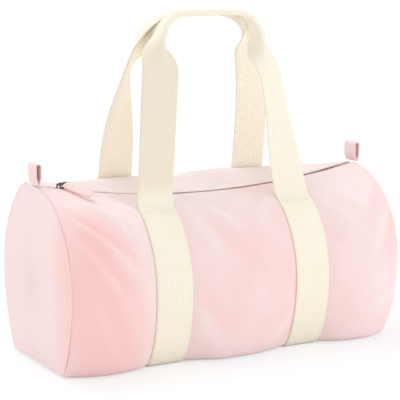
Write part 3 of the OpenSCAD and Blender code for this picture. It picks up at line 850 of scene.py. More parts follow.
def zip_tape(name, side, node):
    """A strip along the arc. Across it, the height falls as the arched top does, and it is closed
    by a second layer one thickness lower."""
    turn = np.linspace(-1, 1, 121) * math.asin(TAPE_HALF / ZIP_RADIUS)
    y = np.linspace(TAPE_EDGE, TAPE_EDGE + TAPE_WIDTH, 7)
    fall = ARCH_HEIGHT * (1 - np.sqrt(1 - (y / SIDE_HALF) ** 2))
    ring_y = np.concatenate([y, y[::-1]])
    ring_r = ZIP_RADIUS + TAPE_DEPTH + np.concatenate([fall, fall[::-1] + TAPE_THICK])
    points = np.stack([
        np.sin(turn)[:, None] * ring_r,
        np.broadcast_to(side * ring_y, (len(turn), len(ring_y))),
        ZIP_CENTRE - np.cos(turn)[:, None] * ring_r,
    ], -1)
    piece = grid_object(name, points, wrap=True, caps=True, flip=side > 0)
    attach(piece, "bag")
    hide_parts(node)
    return piece


SEAM_TAPE_WIDTH = 0.010
SEAM_TAPE_INSET = 0.0025
SEAM_TAPE_THICK = 0.0012
SEAM_TAPE_START = 0.004


def seam_tape(name, side, node):
    """A strip round the inside of the body beside its end seam, closed by a second layer."""
    v = np.linspace(SEAM_TAPE_START, 1 - SEAM_TAPE_START, 150)[None, :]
    far = HALF_LENGTH - SEAM_TAPE_INSET
    x = side * np.array([far - SEAM_TAPE_WIDTH, far])[:, None]
    lift = -CLOTH - 3 * SEAT
    outer = skin(x, v, lift)
    inner = skin(x, v, lift - SEAM_TAPE_THICK)
    points = np.stack([outer[0], outer[1], inner[1], inner[0]], 1)
    piece = grid_object(name, points, wrap=True, caps=True, flip=side > 0)
    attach(piece, "bag")
    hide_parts(node)
    return piece


front_tape = zip_tape("front_zip_tape", FRONT, "zip_tape_front")
back_tape = zip_tape("back_zip_tape", BACK, "zip_tape_back")
left_tape = seam_tape("left_seam_tape", -1, "left_seam_binding")
right_tape = seam_tape("right_seam_tape", 1, "right_seam_binding")
print("tapes made")

# %% [markdown]
# The tabs over the ends of the zip are short strips of canvas, folded into a loop and caught in
# the end seams. Their path is the loop seen from the front, and the band is as wide as the tab.

# %% Tabs
TAB_HEIGHT = 0.028
TAB_WIDTH = 0.027
TAB_GAP = 0.0054
TAB_WALL = 0.0012
TAB_NECK = 0.010
TAB_STEP = 0.0012
TAB_BASE = zip_height(HALF_LENGTH) + SEAT + TAB_WALL


def tab(name, side, body, node):
    """Up one leg, over a half circle and down the other leg, which meet again at the seam."""
    out = TAB_GAP / 2 + TAB_WALL / 2
    crown = TAB_HEIGHT - TAB_WALL - TAB_GAP / 2 - TAB_WALL
    rise = np.linspace(0, 1, 12)
    leg_x = -TAB_WALL / 2 - (out - TAB_WALL / 2) * smooth(rise * crown / TAB_NECK)
    leg = np.stack([leg_x, rise * crown], -1)
    turn = np.linspace(math.pi, 0, 14)[1:-1]
    top = np.stack([out * np.cos(turn), crown + out * np.sin(turn)], -1)
    loop = np.concatenate([leg, top, leg[::-1] * [-1, 1]])
    x = side * HALF_LENGTH + side * loop[:, 0]
    path = even_steps(np.stack([x, 0 * loop[:, 0], TAB_BASE + loop[:, 1]], -1), TAB_STEP)
    across = np.tile([0, 1.0, 0], (len(path), 1))
    face = np.cross(unit(np.gradient(path, axis=0)), across)
    piece = band(name, path, across, face, TAB_WIDTH, TAB_WALL, steps=13, flip=True)
    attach(piece, body)
    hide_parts(node)
    return piece, path


left_tab, left_tab_path = tab("left_tab_loop", -1, "left_tab", "left_tab")
right_tab, right_tab_path = tab("right_tab_loop", 1, "right_tab", "right_tab")
tab_steps = np.linalg.norm(np.diff(left_tab_path, axis=0), axis=1)
print("tab loop length:", round(float(tab_steps.sum()), 4))

# %% [markdown]
# The puller is a strip of canvas folded round the link's bar and sewn flat. The frame says where
# the bar is: the joint that lifts the puller turns about it. The strip is worked out lying flat,
# then carried to its place by the same turns as the solid's.

# %% Puller
PULLER_LENGTH = 0.044
PULLER_WIDTH = 0.011
PULLER_LAYER = 0.00115
PULLER_STEP = 0.0006
FOLD_RADIUS = 0.00185
FOLD_FROM, FOLD_TO = math.radians(55), math.radians(305)
FOLD_START = 2.1 * FOLD_RADIUS
LAYER_GAP = 0.00006
ZIP_INSET, SLIDER_INSET = 0.028, 0.0055
SLIDER_X = HALF_LENGTH - ZIP_INSET - SLIDER_INSET
BRIDGE_Z = 0.00575
LINK_YAW, LINK_ROLL, PULLER_PITCH = math.radians(-67), math.radians(35), math.radians(8)
BAR_AT = 0.00875


def turned(points, axis, angle):
    """Points turned about a coordinate axis by the right-hand rule."""
    c, s = math.cos(angle), math.sin(angle)
    matrix = {
        "x": [[1, 0, 0], [0, c, -s], [0, s, c]],
        "y": [[c, 0, s], [0, 1, 0], [-s, 0, c]],
        "z": [[c, -s, 0], [s, c, 0], [0, 0, 1]],
    }[axis]
    return points @ np.array(matrix).T


def puller_place(points):
    """From the strip's own axes, with the bar at the origin, to the bag's frame."""
    points = turned(points, "y", PULLER_PITCH) + [BAR_AT, 0, 0]
    points = turned(turned(points, "x", LINK_ROLL), "z", LINK_YAW) + [0, 0, BRIDGE_Z - ZIP_RADIUS]
    return turned(points, "y", math.asin(SLIDER_X / ZIP_RADIUS)) + [0, 0, ZIP_CENTRE]


def puller_path():
    """Along the upper layer to the bar, round it, and back along the lower layer."""
    half = PULLER_LAYER / 2 + LAYER_GAP / 2
    turn = np.linspace(FOLD_FROM, FOLD_TO, 20)
    ring = FOLD_RADIUS * np.stack([np.cos(turn), np.sin(turn)], -1)
    run = np.linspace(PULLER_LENGTH, FOLD_START, 26)
    upper = np.stack([run, np.full_like(run, half)], -1)
    lower = upper[::-1] * [1, -1]
    flat = np.concatenate([upper, ring, lower])
    path = np.stack([flat[:, 0], 0 * flat[:, 0], flat[:, 1]], -1)
    return soften(even_steps(path, PULLER_STEP), 2)


strip = puller_path()
puller_centre = puller_place(strip)
puller_across = puller_place(strip + [0, 1.0, 0]) - puller_centre
puller_face = np.cross(unit(np.gradient(puller_centre, axis=0)), puller_across)
fabric_puller = band("fabric_puller", puller_centre, puller_across, puller_face,
                     PULLER_WIDTH, PULLER_LAYER, steps=9, flip=True)
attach(fabric_puller, "puller")
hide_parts("puller")
solid_low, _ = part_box("puller")
ours = np.array([v.co for v in fabric_puller.data.vertices])
print("puller off its solid by mm:", np.round((ours.min(0) - np.array(solid_low)) * 1000, 2))

# %% [markdown]
# Stitches are modelled, because a row of real threads catches light as no flat line does. Each is a
# few-sided grain of thread. One function lays a whole row as arrays: a template ring pattern is
# placed at every stitch by its three directions.

# %% Rows of stitches
THREAD = 0.00032
STITCH = 0.0026
STITCH_GAP = 0.0034
RINGS, RING_POINTS = 5, 6
GRAIN = RINGS * RING_POINTS
GIRTH = np.array([0.25, 0.85, 1.0, 0.85, 0.25])
SINK_SHARE = 0.9


def stitches(name, rows, pitch=STITCH_GAP, length=STITCH, radius=THREAD):
    """rows is a list of (path, out) pairs. A stitch is five rings of six points, thick in its middle
    and sunk at both ends."""
    verts, faces, count = [], [], 0
    along_share = np.linspace(-0.5, 0.5, RINGS)
    sunk = radius * SINK_SHARE * (2 * along_share) ** 2
    girth = radius * GIRTH[:, None]
    ring = np.arange(RING_POINTS) * math.pi / (RING_POINTS / 2)
    template_faces = grid_faces(RINGS, RING_POINTS, True)[:, ::-1]
    for path, out in rows:
        centre, face_out = even_steps(path, pitch, out)
        along = unit(np.gradient(centre, axis=0))
        face_out = unit(face_out - (face_out * along).sum(-1, keepdims=True) * along)
        beside = np.cross(along, face_out)
        points = (centre[:, None, None]
                  + along[:, None, None] * (along_share * length)[None, :, None, None]
                  - face_out[:, None, None] * sunk[None, :, None, None]
                  + beside[:, None, None] * (girth * np.cos(ring))[None, ..., None]
                  + face_out[:, None, None] * (girth * np.sin(ring))[None, ..., None])
        starts = count + np.arange(len(centre)) * GRAIN
        verts.append(points.reshape(-1, 3))
        faces.append((starts[:, None, None] + template_faces[None]).reshape(-1, 4))
        first = starts[:, None] + np.arange(RING_POINTS)
        caps = np.stack([first, first[:, ::-1] + GRAIN - RING_POINTS], 1)
        faces.append(caps.reshape(-1, RING_POINTS))
        count += points.size // 3
    return make_object(name, np.concatenate(verts), [f for block in faces for f in block.tolist()])


def on_skin(x, v, lift):
    """A path on the dressed body with its outward direction."""
    x, v = np.broadcast_arrays(np.asarray(x, float), np.asarray(v, float))
    low = dressed(x, v)
    out = unit(dressed(x, v, PROBE) - low)
    return low + out * lift, out


HEM_SEAM, HEM_SEAM_INSET = 0.0046, 0.012
THREAD_LIFT = THREAD * 0.4
hem_x = np.linspace(-HALF_LENGTH + HEM_SEAM_INSET, HALF_LENGTH - HEM_SEAM_INSET, 200)
hem_lines = [on_skin(hem_x, round_place(HEM_SEAM / HALF_GIRTH, side), THREAD_LIFT)
             for side in (FRONT, BACK)]
hem_stitches = stitches("hem_stitches", hem_lines)
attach(hem_stitches, "bag")
print("hem stitches:", len(hem_stitches.data.vertices) // GRAIN)

# %% [markdown]
# The webbing is sewn down along both edges, and the same two rows run on where the handle has
# closed. A row follows the bent section, so its thread stays on the outer face of the fold.

# %% Stitches of the webbing
EDGE_IN = 0.0028
FLAT_TURN = 1e-6
ROOT_ROOM, END_STEPS, CLOSED_SHARE = 0.004, 4, 0.985
SEWN = (WEBBING_WIDTH / 2 - EDGE_IN) * np.array([-1, 1])


def webbing_line(side, rows, place):
    """A line along a webbing's outer face, place away from its middle, with its outward direction."""
    path, across, face, fold = (part[rows] for part in WEBBING_ROWS[side])
    near = min(abs(place), BEND)
    turn = fold * near / BEND * np.sign(place)
    bent = np.abs(turn)
    over = np.where(bent < FLAT_TURN, 1.0, np.sin(bent) / np.maximum(bent, FLAT_TURN))
    down = np.where(bent < FLAT_TURN, 0.0, (1 - np.cos(turn)) / np.maximum(bent, FLAT_TURN))
    flat = abs(place) - near
    x = np.sign(place) * (near * over + flat * np.cos(turn))
    y = -(near * down + flat * np.sin(bent))
    out = across * np.sin(turn)[:, None] + face * np.cos(turn)[:, None]
    return path + across * x[:, None] + face * y[:, None] + out * WEBBING_THICK / 2, out


strap_lines, grip_lines = [], {FRONT: [], BACK: []}
for side in (FRONT, BACK):
    path, _, _, fold = WEBBING_ROWS[side]
    root_z = handle_root(side)[1]
    low = np.flatnonzero(path[:, 2] < root_z - ROOT_ROOM)
    left_rows, right_rows = low[path[low, 0] < 0], low[path[low, 0] > 0]
    grip_rows = np.flatnonzero(fold > CLOSED_SHARE * GRIP_FOLD)
    for place in SEWN:
        strap_lines += [webbing_line(side, rows[END_STEPS:-END_STEPS], place)
                        for rows in (left_rows, right_rows)]
        grip_lines[side].append(webbing_line(side, grip_rows, place))
strap_stitches = stitches("strap_stitches", strap_lines)
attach(strap_stitches, "bag")
grip_stitches = []
for name, side, body in (("front_grip_stitches", FRONT, "front_handle"),
                         ("back_grip_stitches", BACK, "back_handle")):
    piece = stitches(name, grip_lines[side])
    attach(piece, body)
    grip_stitches.append(piece)
print("strap stitches:", len(strap_stitches.data.vertices) // GRAIN)

# %% [markdown]
# Where a handle leaves the bag it is held by dense rows of thread across the webbing. These are
# the same grains laid close together.

# %% Bar tacks
TACK_ROWS, TACK_INSET = (0.004, 0.014), 0.005
TACK_GAP, TACK_LENGTH, TACK_THREAD = 0.0021, 0.0026, THREAD * 1.2
tack_lines = []
for side in (FRONT, BACK):
    for end in (-1, 1):
        for row in TACK_ROWS:
            v = round_place(STRAP_TOP_SHARE + row / HALF_GIRTH, side)
            x = end * STRAP_X + np.linspace(-1, 1, 20) * (WEBBING_WIDTH / 2 - TACK_INSET)
            low = skin(x, v, STRAP_LIFT)
            tack_lines.append((low, unit(skin(x, v, STRAP_LIFT + PROBE) - low)))
tacks = stitches("handle_tacks", tack_lines, pitch=TACK_GAP, length=TACK_LENGTH, radius=TACK_THREAD)
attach(tacks, "bag")
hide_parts("bar_tacks")
print("tack rows:", len(tack_lines))

# %% [markdown]
# The puller and the tabs are sewn with a finer thread, one row beside each long edge. A row on the
# puller is laid on the flat strip and carried to its place with it.

# %% Stitches of the puller and the tabs
FINE_THREAD = 0.00026
PULLER_ROWS, PULLER_GAP, PULLER_STITCH = (-0.0035, 0.0035), 0.0028, 0.0021
PULLER_END_ROOM, PULLER_BAR_ROOM = 0.002, 2.6 * FOLD_RADIUS
TAB_SEAM_INSET, TAB_SEAM_GAP, TAB_STITCH = 0.003, 0.0030, 0.0022
TAB_FOOT_ROOM, TAB_TOP_ROOM = 0.002, 0.008
ABOVE_STRIP = PULLER_LAYER + 0.0001


def puller_line(offset):
    """A line along the puller's upper face."""
    run = np.linspace(PULLER_LENGTH - PULLER_END_ROOM, PULLER_BAR_ROOM, 20)
    flat = np.stack([run, np.full_like(run, offset), np.full_like(run, ABOVE_STRIP)], -1)
    low = puller_place(flat)
    return low, puller_place(flat + [0, 0, 1.0]) - low


puller_stitches = stitches("puller_stitches", [puller_line(offset) for offset in PULLER_ROWS],
                           pitch=PULLER_GAP, length=PULLER_STITCH, radius=FINE_THREAD)
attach(puller_stitches, "puller")


def tab_line(path, offset, side):
    """A line up the outer face of a tab's leg that faces left, beside its edge."""
    height = np.linspace(TAB_BASE + TAB_FOOT_ROOM, TAB_BASE + TAB_HEIGHT - TAB_TOP_ROOM, 16)
    leg = path[path[:, 0] < side * HALF_LENGTH]
    order = np.argsort(leg[:, 2])
    x = np.interp(height, leg[order, 2], leg[order, 0]) - TAB_WALL / 2
    points = np.stack([x, np.full_like(x, offset), height], -1)
    return points, np.tile([-1.0, 0, 0], (len(x), 1))


tab_stitches = []
for name, path, side, body in (("left_tab_stitches", left_tab_path, -1, "left_tab"),
                               ("right_tab_stitches", right_tab_path, 1, "right_tab")):
    edge = TAB_WIDTH / 2 - TAB_SEAM_INSET
    piece = stitches(name, [tab_line(path, offset, side) for offset in (-edge, edge)],
                     pitch=TAB_SEAM_GAP, length=TAB_STITCH, radius=FINE_THREAD)
    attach(piece, body)
    tab_stitches.append(piece)
print("puller and tab stitches made")

# %% [markdown]
# Materials come next. The canvas, the webbing, the tapes and the thread share three effects, so
# each effect is a node group that is built once: a plain weave, a ribbed weave, and a soft
# unevenness of tone. A group gives out only values and colours; each material keeps its shader.

# %% Node group helpers
FLOAT, VECTOR, COLOR = "NodeSocketFloat", "NodeSocketVector", "NodeSocketColor"


def new_group(name, inputs, outputs):
    """An empty shader node group with the named sockets. Inputs are (name, type, default)."""
    tree = bpy.data.node_groups.new(name, "ShaderNodeTree")
    for label, kind, default in inputs:
        socket = tree.interface.new_socket(name=label, in_out="INPUT", socket_type=kind)
        if default is not None:
            socket.default_value = default
    for label, kind in outputs:
        tree.interface.new_socket(name=label, in_out="OUTPUT", socket_type=kind)
    return tree, tree.nodes.new("NodeGroupInput"), tree.nodes.new("NodeGroupOutput")


def feed(tree, node, values):
    """Sets a node's inputs, by name or number, to numbers and colours, or links them to sockets."""
    for label, value in values.items():
        if isinstance(value, bpy.types.NodeSocket):
            tree.links.new(value, node.inputs[label])
        else:
            node.inputs[label].default_value = value
    return node


def math_node(tree, operation, a, b=None):
    """A math node fed by sockets or numbers, and its result."""
    node = tree.nodes.new("ShaderNodeMath")
    node.operation = operation
    feed(tree, node, {0: a} if b is None else {0: a, 1: b})
    return node.outputs[0]


def noise_node(tree, vector, scale, detail=2.0, stretch=None):
    """A noise texture on a vector, stretched first where the pattern runs one way."""
    if stretch is not None:
        mapping = tree.nodes.new("ShaderNodeMapping")
        vector = feed(tree, mapping, {"Scale": stretch, "Vector": vector}).outputs["Vector"]
    node = tree.nodes.new("ShaderNodeTexNoise")
    return feed(tree, node, {"Scale": scale, "Detail": detail, "Vector": vector}).outputs["Fac"]


def mix_node(tree, factor, a, b):
    """Colour a where the factor is 0, colour b where it is 1, and a straight mix between."""
    node = tree.nodes.new("ShaderNodeMix")
    node.data_type = "RGBA"
    return feed(tree, node, {"Factor": factor, "A": a, "B": b}).outputs["Result"]


def range_node(tree, value, low, high, to_low, to_high):
    """A value carried evenly from the range low to high to another range, and clamped there."""
    node = tree.nodes.new("ShaderNodeMapRange")
    limits = {"From Min": low, "From Max": high, "To Min": to_low, "To Max": to_high}
    return feed(tree, node, {"Value": value, **limits}).outputs["Result"]


print("node helpers ready")

# %% [markdown]
# Canvas is a plain weave: each thread passes over one and under the next. Seen from above, that is
# a board of small bumps, and the slubs of uneven yarn run through it both ways.

# %% The plain weave of canvas
CROSSING_DEPTH, SLUB_SCALE, SLUB_STRETCH = 0.35, 60.0, 9.0


def plain_weave_group():
    """Threads over and under: the product of two sines of the cloth's own UV, each with a period of
    two threads, plus slubs, which are noise stretched along the threads both ways."""
    tree, inputs, outputs = new_group(
        "plain_weave",
        [("UV", VECTOR, None), ("Thread", FLOAT, 0.0009), ("Slub", FLOAT, 0.5)],
        [("Height", FLOAT), ("Raised", FLOAT)])
    uv = inputs.outputs["UV"]
    split = feed(tree, tree.nodes.new("ShaderNodeSeparateXYZ"), {0: uv})
    half_wave = math_node(tree, "DIVIDE", math.pi, inputs.outputs["Thread"])
    across, down = (math_node(tree, "SINE", math_node(tree, "MULTIPLY", part, half_wave))
                    for part in split.outputs[:2])
    cross = math_node(tree, "MULTIPLY", across, down)
    warp = noise_node(tree, uv, SLUB_SCALE, stretch=(1.0, SLUB_STRETCH, 1.0))
    weft = noise_node(tree, uv, SLUB_SCALE, stretch=(SLUB_STRETCH, 1.0, 1.0))
    both = math_node(tree, "SUBTRACT", math_node(tree, "ADD", warp, weft), 1.0)
    slub = math_node(tree, "MULTIPLY", both, inputs.outputs["Slub"])
    height = math_node(tree, "ADD", math_node(tree, "MULTIPLY", cross, CROSSING_DEPTH), slub)
    feed(tree, outputs, {"Height": height, "Raised": slub})
    return tree


plain_weave = plain_weave_group()
print("group:", plain_weave.name)

# %% [markdown]
# Webbing is woven with ribs along it. The picks that cross them slant, one way on one rib and back
# on the next, which gives the herringbone of cotton webbing.

# %% The ribs of webbing
PICK_SLANT, PICK_DEPTH = 1.2, 0.5
YARN_SCALE, YARN_DEPTH = 330.0, 1.6
MEAN_HEIGHT = 1.44


def ribbed_weave_group():
    """Ribs along the webbing, each a rounded sine across it, crossed by picks that slant one way on
    one rib and back on the next, as in a herringbone. Yarn noise breaks both up."""
    tree, inputs, outputs = new_group(
        "ribbed_weave",
        [("UV", VECTOR, None), ("Rib", FLOAT, 0.0017), ("Pick", FLOAT, 0.0012)],
        [("Height", FLOAT), ("Raised", FLOAT)])
    uv, rib_width = inputs.outputs["UV"], inputs.outputs["Rib"]
    u, v, _ = feed(tree, tree.nodes.new("ShaderNodeSeparateXYZ"), {0: uv}).outputs
    rib_turn = math_node(tree, "MULTIPLY", v, math_node(tree, "DIVIDE", math.pi, rib_width))
    rib = math_node(tree, "ABSOLUTE", math_node(tree, "SINE", rib_turn))
    zig = math_node(tree, "PINGPONG", v, rib_width)
    slanted = math_node(tree, "ADD", u, math_node(tree, "MULTIPLY", zig, PICK_SLANT))
    pick_wave = math_node(tree, "DIVIDE", 2 * math.pi, inputs.outputs["Pick"])
    pick = math_node(tree, "SINE", math_node(tree, "MULTIPLY", slanted, pick_wave))
    yarn = noise_node(tree, uv, YARN_SCALE, 1.0, (0.5, 1.0, 1.0))
    height = math_node(tree, "ADD", rib, math_node(tree, "MULTIPLY", pick, PICK_DEPTH))
    height = math_node(tree, "ADD", height, math_node(tree, "MULTIPLY", yarn, YARN_DEPTH))
    # Below the mean height, in the grooves between the ribs, the colour is made deeper: a painted
    # shade.
    raised = math_node(tree, "SUBTRACT", height, MEAN_HEIGHT)
    feed(tree, outputs, {"Height": height, "Raised": raised})
    return tree


ribbed_weave = ribbed_weave_group()
print("group:", ribbed_weave.name)

# %% [markdown]
# Dyed cloth is never one colour. Slow noise deepens it in patches, and fine noise makes pale flecks.
# The tone kept on the piece, which is painted light and shade, moves it either way.

# %% Uneven tone
PATCH_LOW, PATCH_HIGH, PATCH_SHARE = 0.38, 0.68, 0.35
FLECK_SCALE, FLECK_SHARE = 140.0, 0.35


def tone_group():
    """Mixes a cloth's colour with a deeper one by slow noise, and with a paler one by finer noise, as
    dye and handling leave it. The Tone input, which carries painted light and shade, moves it towards
    either."""
    tree, inputs, outputs = new_group(
        "uneven_tone",
        [("Vector", VECTOR, None), ("Colour", COLOR, None), ("Deep", COLOR, None),
         ("Pale", COLOR, None), ("Patch", FLOAT, 9.0), ("Tone", FLOAT, 0.0)],
        [("Colour", COLOR)])
    given = inputs.outputs
    slow = noise_node(tree, given["Vector"], given["Patch"], 3.0)
    spread = range_node(tree, slow, PATCH_LOW, PATCH_HIGH, 0.0, 1.0)
    dyed = math_node(tree, "MULTIPLY", spread, PATCH_SHARE)
    dyed = math_node(tree, "SUBTRACT", dyed, given["Tone"])
    patched = mix_node(tree, dyed, given["Colour"], given["Deep"])
    fine = noise_node(tree, given["Vector"], FLECK_SCALE)
    flecks = math_node(tree, "ADD", math_node(tree, "MULTIPLY", fine, FLECK_SHARE), given["Tone"])
    feed(tree, outputs, {"Colour": mix_node(tree, flecks, patched, given["Pale"])})
    return tree


uneven_tone = tone_group()
print("group:", uneven_tone.name)

# %% [markdown]
# A photograph gives colours as a screen shows them, while a shader works in linear light, so each
# colour is written as seen and turned into linear light here.

# %% Colours
def seen(red, green, blue):
    """A colour as seen, 0 to 255, in linear light: sRGB's power 2.4 curve, straight near black."""
    values = np.array([red, green, blue]) / 255
    linear = np.where(values <= 0.04045, values / 12.92, ((values + 0.055) / 1.055) ** 2.4)
    return (*linear.tolist(), 1.0)


# The deep and pale pinks and creams serve both the dye's uneven patches and the painted light and
# shade.
CANVAS = seen(247, 219, 218)
CANVAS_DEEP = seen(250, 205, 203)
CANVAS_PALE = seen(246, 232, 232)
CREAM = seen(249, 243, 225)
CREAM_DEEP = seen(240, 230, 210)
CREAM_PALE = seen(252, 249, 238)
TAPE_PINK = seen(240, 205, 203)
THREAD_PINK = seen(246, 214, 212)
THREAD_CREAM = seen(243, 236, 214)
BRONZE = seen(96, 84, 78)
BRONZE_DARK = seen(52, 46, 44)
COPPER = seen(206, 160, 140)
COPPER_DARK = seen(150, 106, 88)
print("canvas in linear light:", [round(v, 3) for v in CANVAS[:3]])

# %% [markdown]
# Cloth scatters light from its fuzz, which shows as a faint glow at grazing angles. The shader's
# sheen does this. Roughness is high, and the weave only bends the normal a little.

# %% Cloth materials
def material(name):
    """A new node material and its shader."""
    made = bpy.data.materials.new(name)
    made.use_nodes = True
    return made, made.node_tree, made.node_tree.nodes["Principled BSDF"]


def place_group(tree, group, values):
    """A node that uses the group, with its inputs fed."""
    node = tree.nodes.new("ShaderNodeGroup")
    node.node_tree = group
    return feed(tree, node, values)


def coordinates(tree):
    """The piece's own UV map and its Object coordinates."""
    uv = tree.nodes.new("ShaderNodeUVMap")
    uv.uv_map = "UVMap"
    place = tree.nodes.new("ShaderNodeTexCoord")
    return uv.outputs["UV"], place.outputs["Object"]


def bend_normal(tree, shader, height, strength, distance):
    """Bends the shader's normal by a height, as fine relief does."""
    relief = tree.nodes.new("ShaderNodeBump")
    feed(tree, relief, {"Strength": strength, "Distance": distance, "Height": height})
    tree.links.new(relief.outputs["Normal"], shader.inputs["Normal"])


def cloth_material(name, weave, colours, patch, bump, distance, sheen, grain, sizes):
    """Canvas, webbing or tape: a weave group for the bump and the tone group for the colour. Raised
    threads are paler by grain, and on the webbing the grooves between the ribs are deeper, a painted
    shade. The painted light and shade kept on the piece as its tone is added."""
    made, tree, shader = material(name)
    uv, place = coordinates(tree)
    threads = place_group(tree, weave, {"UV": uv, **sizes})
    # The piece's tone attribute: its painted light and shade.
    painted_light_attribute = tree.nodes.new("ShaderNodeAttribute")
    painted_light_attribute.attribute_name = "tone"
    # Yarn grain, and on the webbing painted shade in the grooves between its ribs.
    yarn_and_groove_shade = math_node(tree, "MULTIPLY", threads.outputs["Raised"], grain)
    tone = math_node(tree, "ADD", painted_light_attribute.outputs["Fac"], yarn_and_groove_shade)
    colour, deep, pale = colours
    toned = place_group(tree, uneven_tone, {"Vector": place, "Colour": colour, "Deep": deep,
                                            "Pale": pale, "Patch": patch, "Tone": tone})
    tree.links.new(toned.outputs["Colour"], shader.inputs["Base Color"])
    bend_normal(tree, shader, threads.outputs["Height"], bump, distance)
    shader.inputs["Roughness"].default_value = 0.9
    shader.inputs["Specular IOR Level"].default_value = 0.25
    shader.inputs["Sheen Weight"].default_value = sheen
    shader.inputs["Sheen Roughness"].default_value = 0.5
    return made


canvas = cloth_material(
    "pink_canvas", plain_weave, (CANVAS, CANVAS_DEEP, CANVAS_PALE),
    patch=7.0, bump=0.5, distance=0.0004, sheen=0.15, grain=0.9, sizes={"Thread": 0.0009, "Slub": 0.5})
webbing_cloth = cloth_material(
    "cream_webbing", ribbed_weave, (CREAM, CREAM_DEEP, CREAM_PALE),
    patch=11.0, bump=0.5, distance=0.0004, sheen=0.1, grain=0.3, sizes={"Rib": 0.0042, "Pick": 0.0034})
tape_cloth = cloth_material(
    "pink_tape", plain_weave, (TAPE_PINK, CANVAS_DEEP, CANVAS_PALE),
    patch=20.0, bump=0.4, distance=0.0002, sheen=0.1, grain=0.5, sizes={"Thread": 0.0005, "Slub": 0.3})
print("cloths:", canvas.name, webbing_cloth.name, tape_cloth.name)

# %% [markdown]
# Thread and metal follow. The thread is a twisted yarn, so a fine slanting wave runs over it. The zip
# is aged metal that has been handled: noise mixes darker, rougher patches with brighter ones. Its
# slider and link are dark bronze, and its teeth and stops are a browner copper.

# %% Thread and metal materials
TWIST_SCALE, THREAD_PATCH, AGED_SCALE = 900.0, 60.0, 420.0
HOLLOW_ROUGH, RUBBED_ROUGH = 0.55, 0.3
FINE_RELIEF = 0.0001


def thread_material(name, colour):
    """Twisted yarn: a fine wave over the piece's own coordinates bends the normal."""
    made, tree, shader = material(name)
    _, place = coordinates(tree)
    wave = tree.nodes.new("ShaderNodeTexWave")
    wave.bands_direction = "DIAGONAL"
    feed(tree, wave, {"Scale": TWIST_SCALE, "Vector": place})
    bend_normal(tree, shader, wave.outputs["Fac"], 0.4, FINE_RELIEF)
    toned = place_group(tree, uneven_tone, {"Vector": place, "Colour": colour, "Deep": colour,
                                            "Pale": CREAM_PALE, "Patch": THREAD_PATCH})
    tree.links.new(toned.outputs["Colour"], shader.inputs["Base Color"])
    shader.inputs["Roughness"].default_value = 0.75
    shader.inputs["Sheen Weight"].default_value = 0.2
    return made


def metal_material(name, dark, bright):
    """Aged metal: noise mixes a dark and a bright tone, and roughens the dark one."""
    made, tree, shader = material(name)
    _, place = coordinates(tree)
    patches = noise_node(tree, place, AGED_SCALE, 3.0)
    tree.links.new(mix_node(tree, patches, dark, bright), shader.inputs["Base Color"])
    rough = range_node(tree, patches, 0.0, 1.0, HOLLOW_ROUGH, RUBBED_ROUGH)
    tree.links.new(rough, shader.inputs["Roughness"])
    bend_normal(tree, shader, patches, 0.15, FINE_RELIEF)
    shader.inputs["Metallic"].default_value = 1.0
    return made


def wear(piece, made):
    """Gives a piece its material, in the place of what it had."""
    piece.data.materials.clear()
    piece.data.materials.append(made)


cream_thread = thread_material("cream_thread", THREAD_CREAM)
pink_thread = thread_material("pink_thread", THREAD_PINK)
bronze = metal_material("aged_bronze", BRONZE_DARK, BRONZE)
copper = metal_material("aged_copper", COPPER_DARK, COPPER)
worn_by = (
    (canvas, (body_canvas, left_end, right_end, left_tab, right_tab, fabric_puller)),
    (webbing_cloth, (front_webbing, back_webbing, left_base, right_base)),
    (tape_cloth, (front_tape, back_tape, left_tape, right_tape)),
    (cream_thread, (strap_stitches, tacks, *grip_stitches)),
    (pink_thread, (hem_stitches, puller_stitches, *tab_stitches)),
    (bronze, (solids["zip_slider"], solids["pull_link"])),
    (copper, (solids["zip_teeth_front"], solids["zip_teeth_back"], solids["zip_stops"])),
)
for made, pieces in worn_by:
    for piece in pieces:
        wear(piece, made)
print("materials:", sorted(m.name for m in bpy.data.materials))

# %% [markdown]
# The stage is a plain pale floor. A ray from the camera finds a floor that glows nearly white, with
# enough plain shade left in it to keep the bag's soft shadow. Every other ray finds an ordinary
# pale floor, which throws a little light back under the bag. The sky is split in the same way.

# %% Floor and world
FLOOR_SIZE = 60.0
FLOOR_PALE, FLOOR_SHADE = 0.90, 0.40
GLOW_NEAR, GLOW_FAR = 0.615, 0.74
GLOW_FROM, GLOW_TO = 0.4, 1.6
SKY_COLOUR, SKY_STRENGTH = (1.0, 0.99, 0.98, 1), 0.68
WHITE = (1, 1, 1, 1)


def split_by_ray(tree, bounced, shown):
    """The shown shader for a ray from the camera, a mirror or a glass, and the other one for the
    light's own bounces."""
    path = tree.nodes.new("ShaderNodeLightPath")
    either = math_node(tree, "MAXIMUM", path.outputs["Is Camera Ray"], path.outputs["Is Glossy Ray"])
    looked_at = math_node(tree, "MAXIMUM", either, path.outputs["Is Transmission Ray"])
    choose = tree.nodes.new("ShaderNodeMixShader")
    return feed(tree, choose, {0: looked_at, 1: bounced, 2: shown}).outputs[0]


def grey_diffuse(tree, grey):
    """A plain diffuse shader of one grey."""
    node = tree.nodes.new("ShaderNodeBsdfDiffuse")
    node.inputs["Color"].default_value = (grey, grey, grey, 1)
    return node.outputs[0]


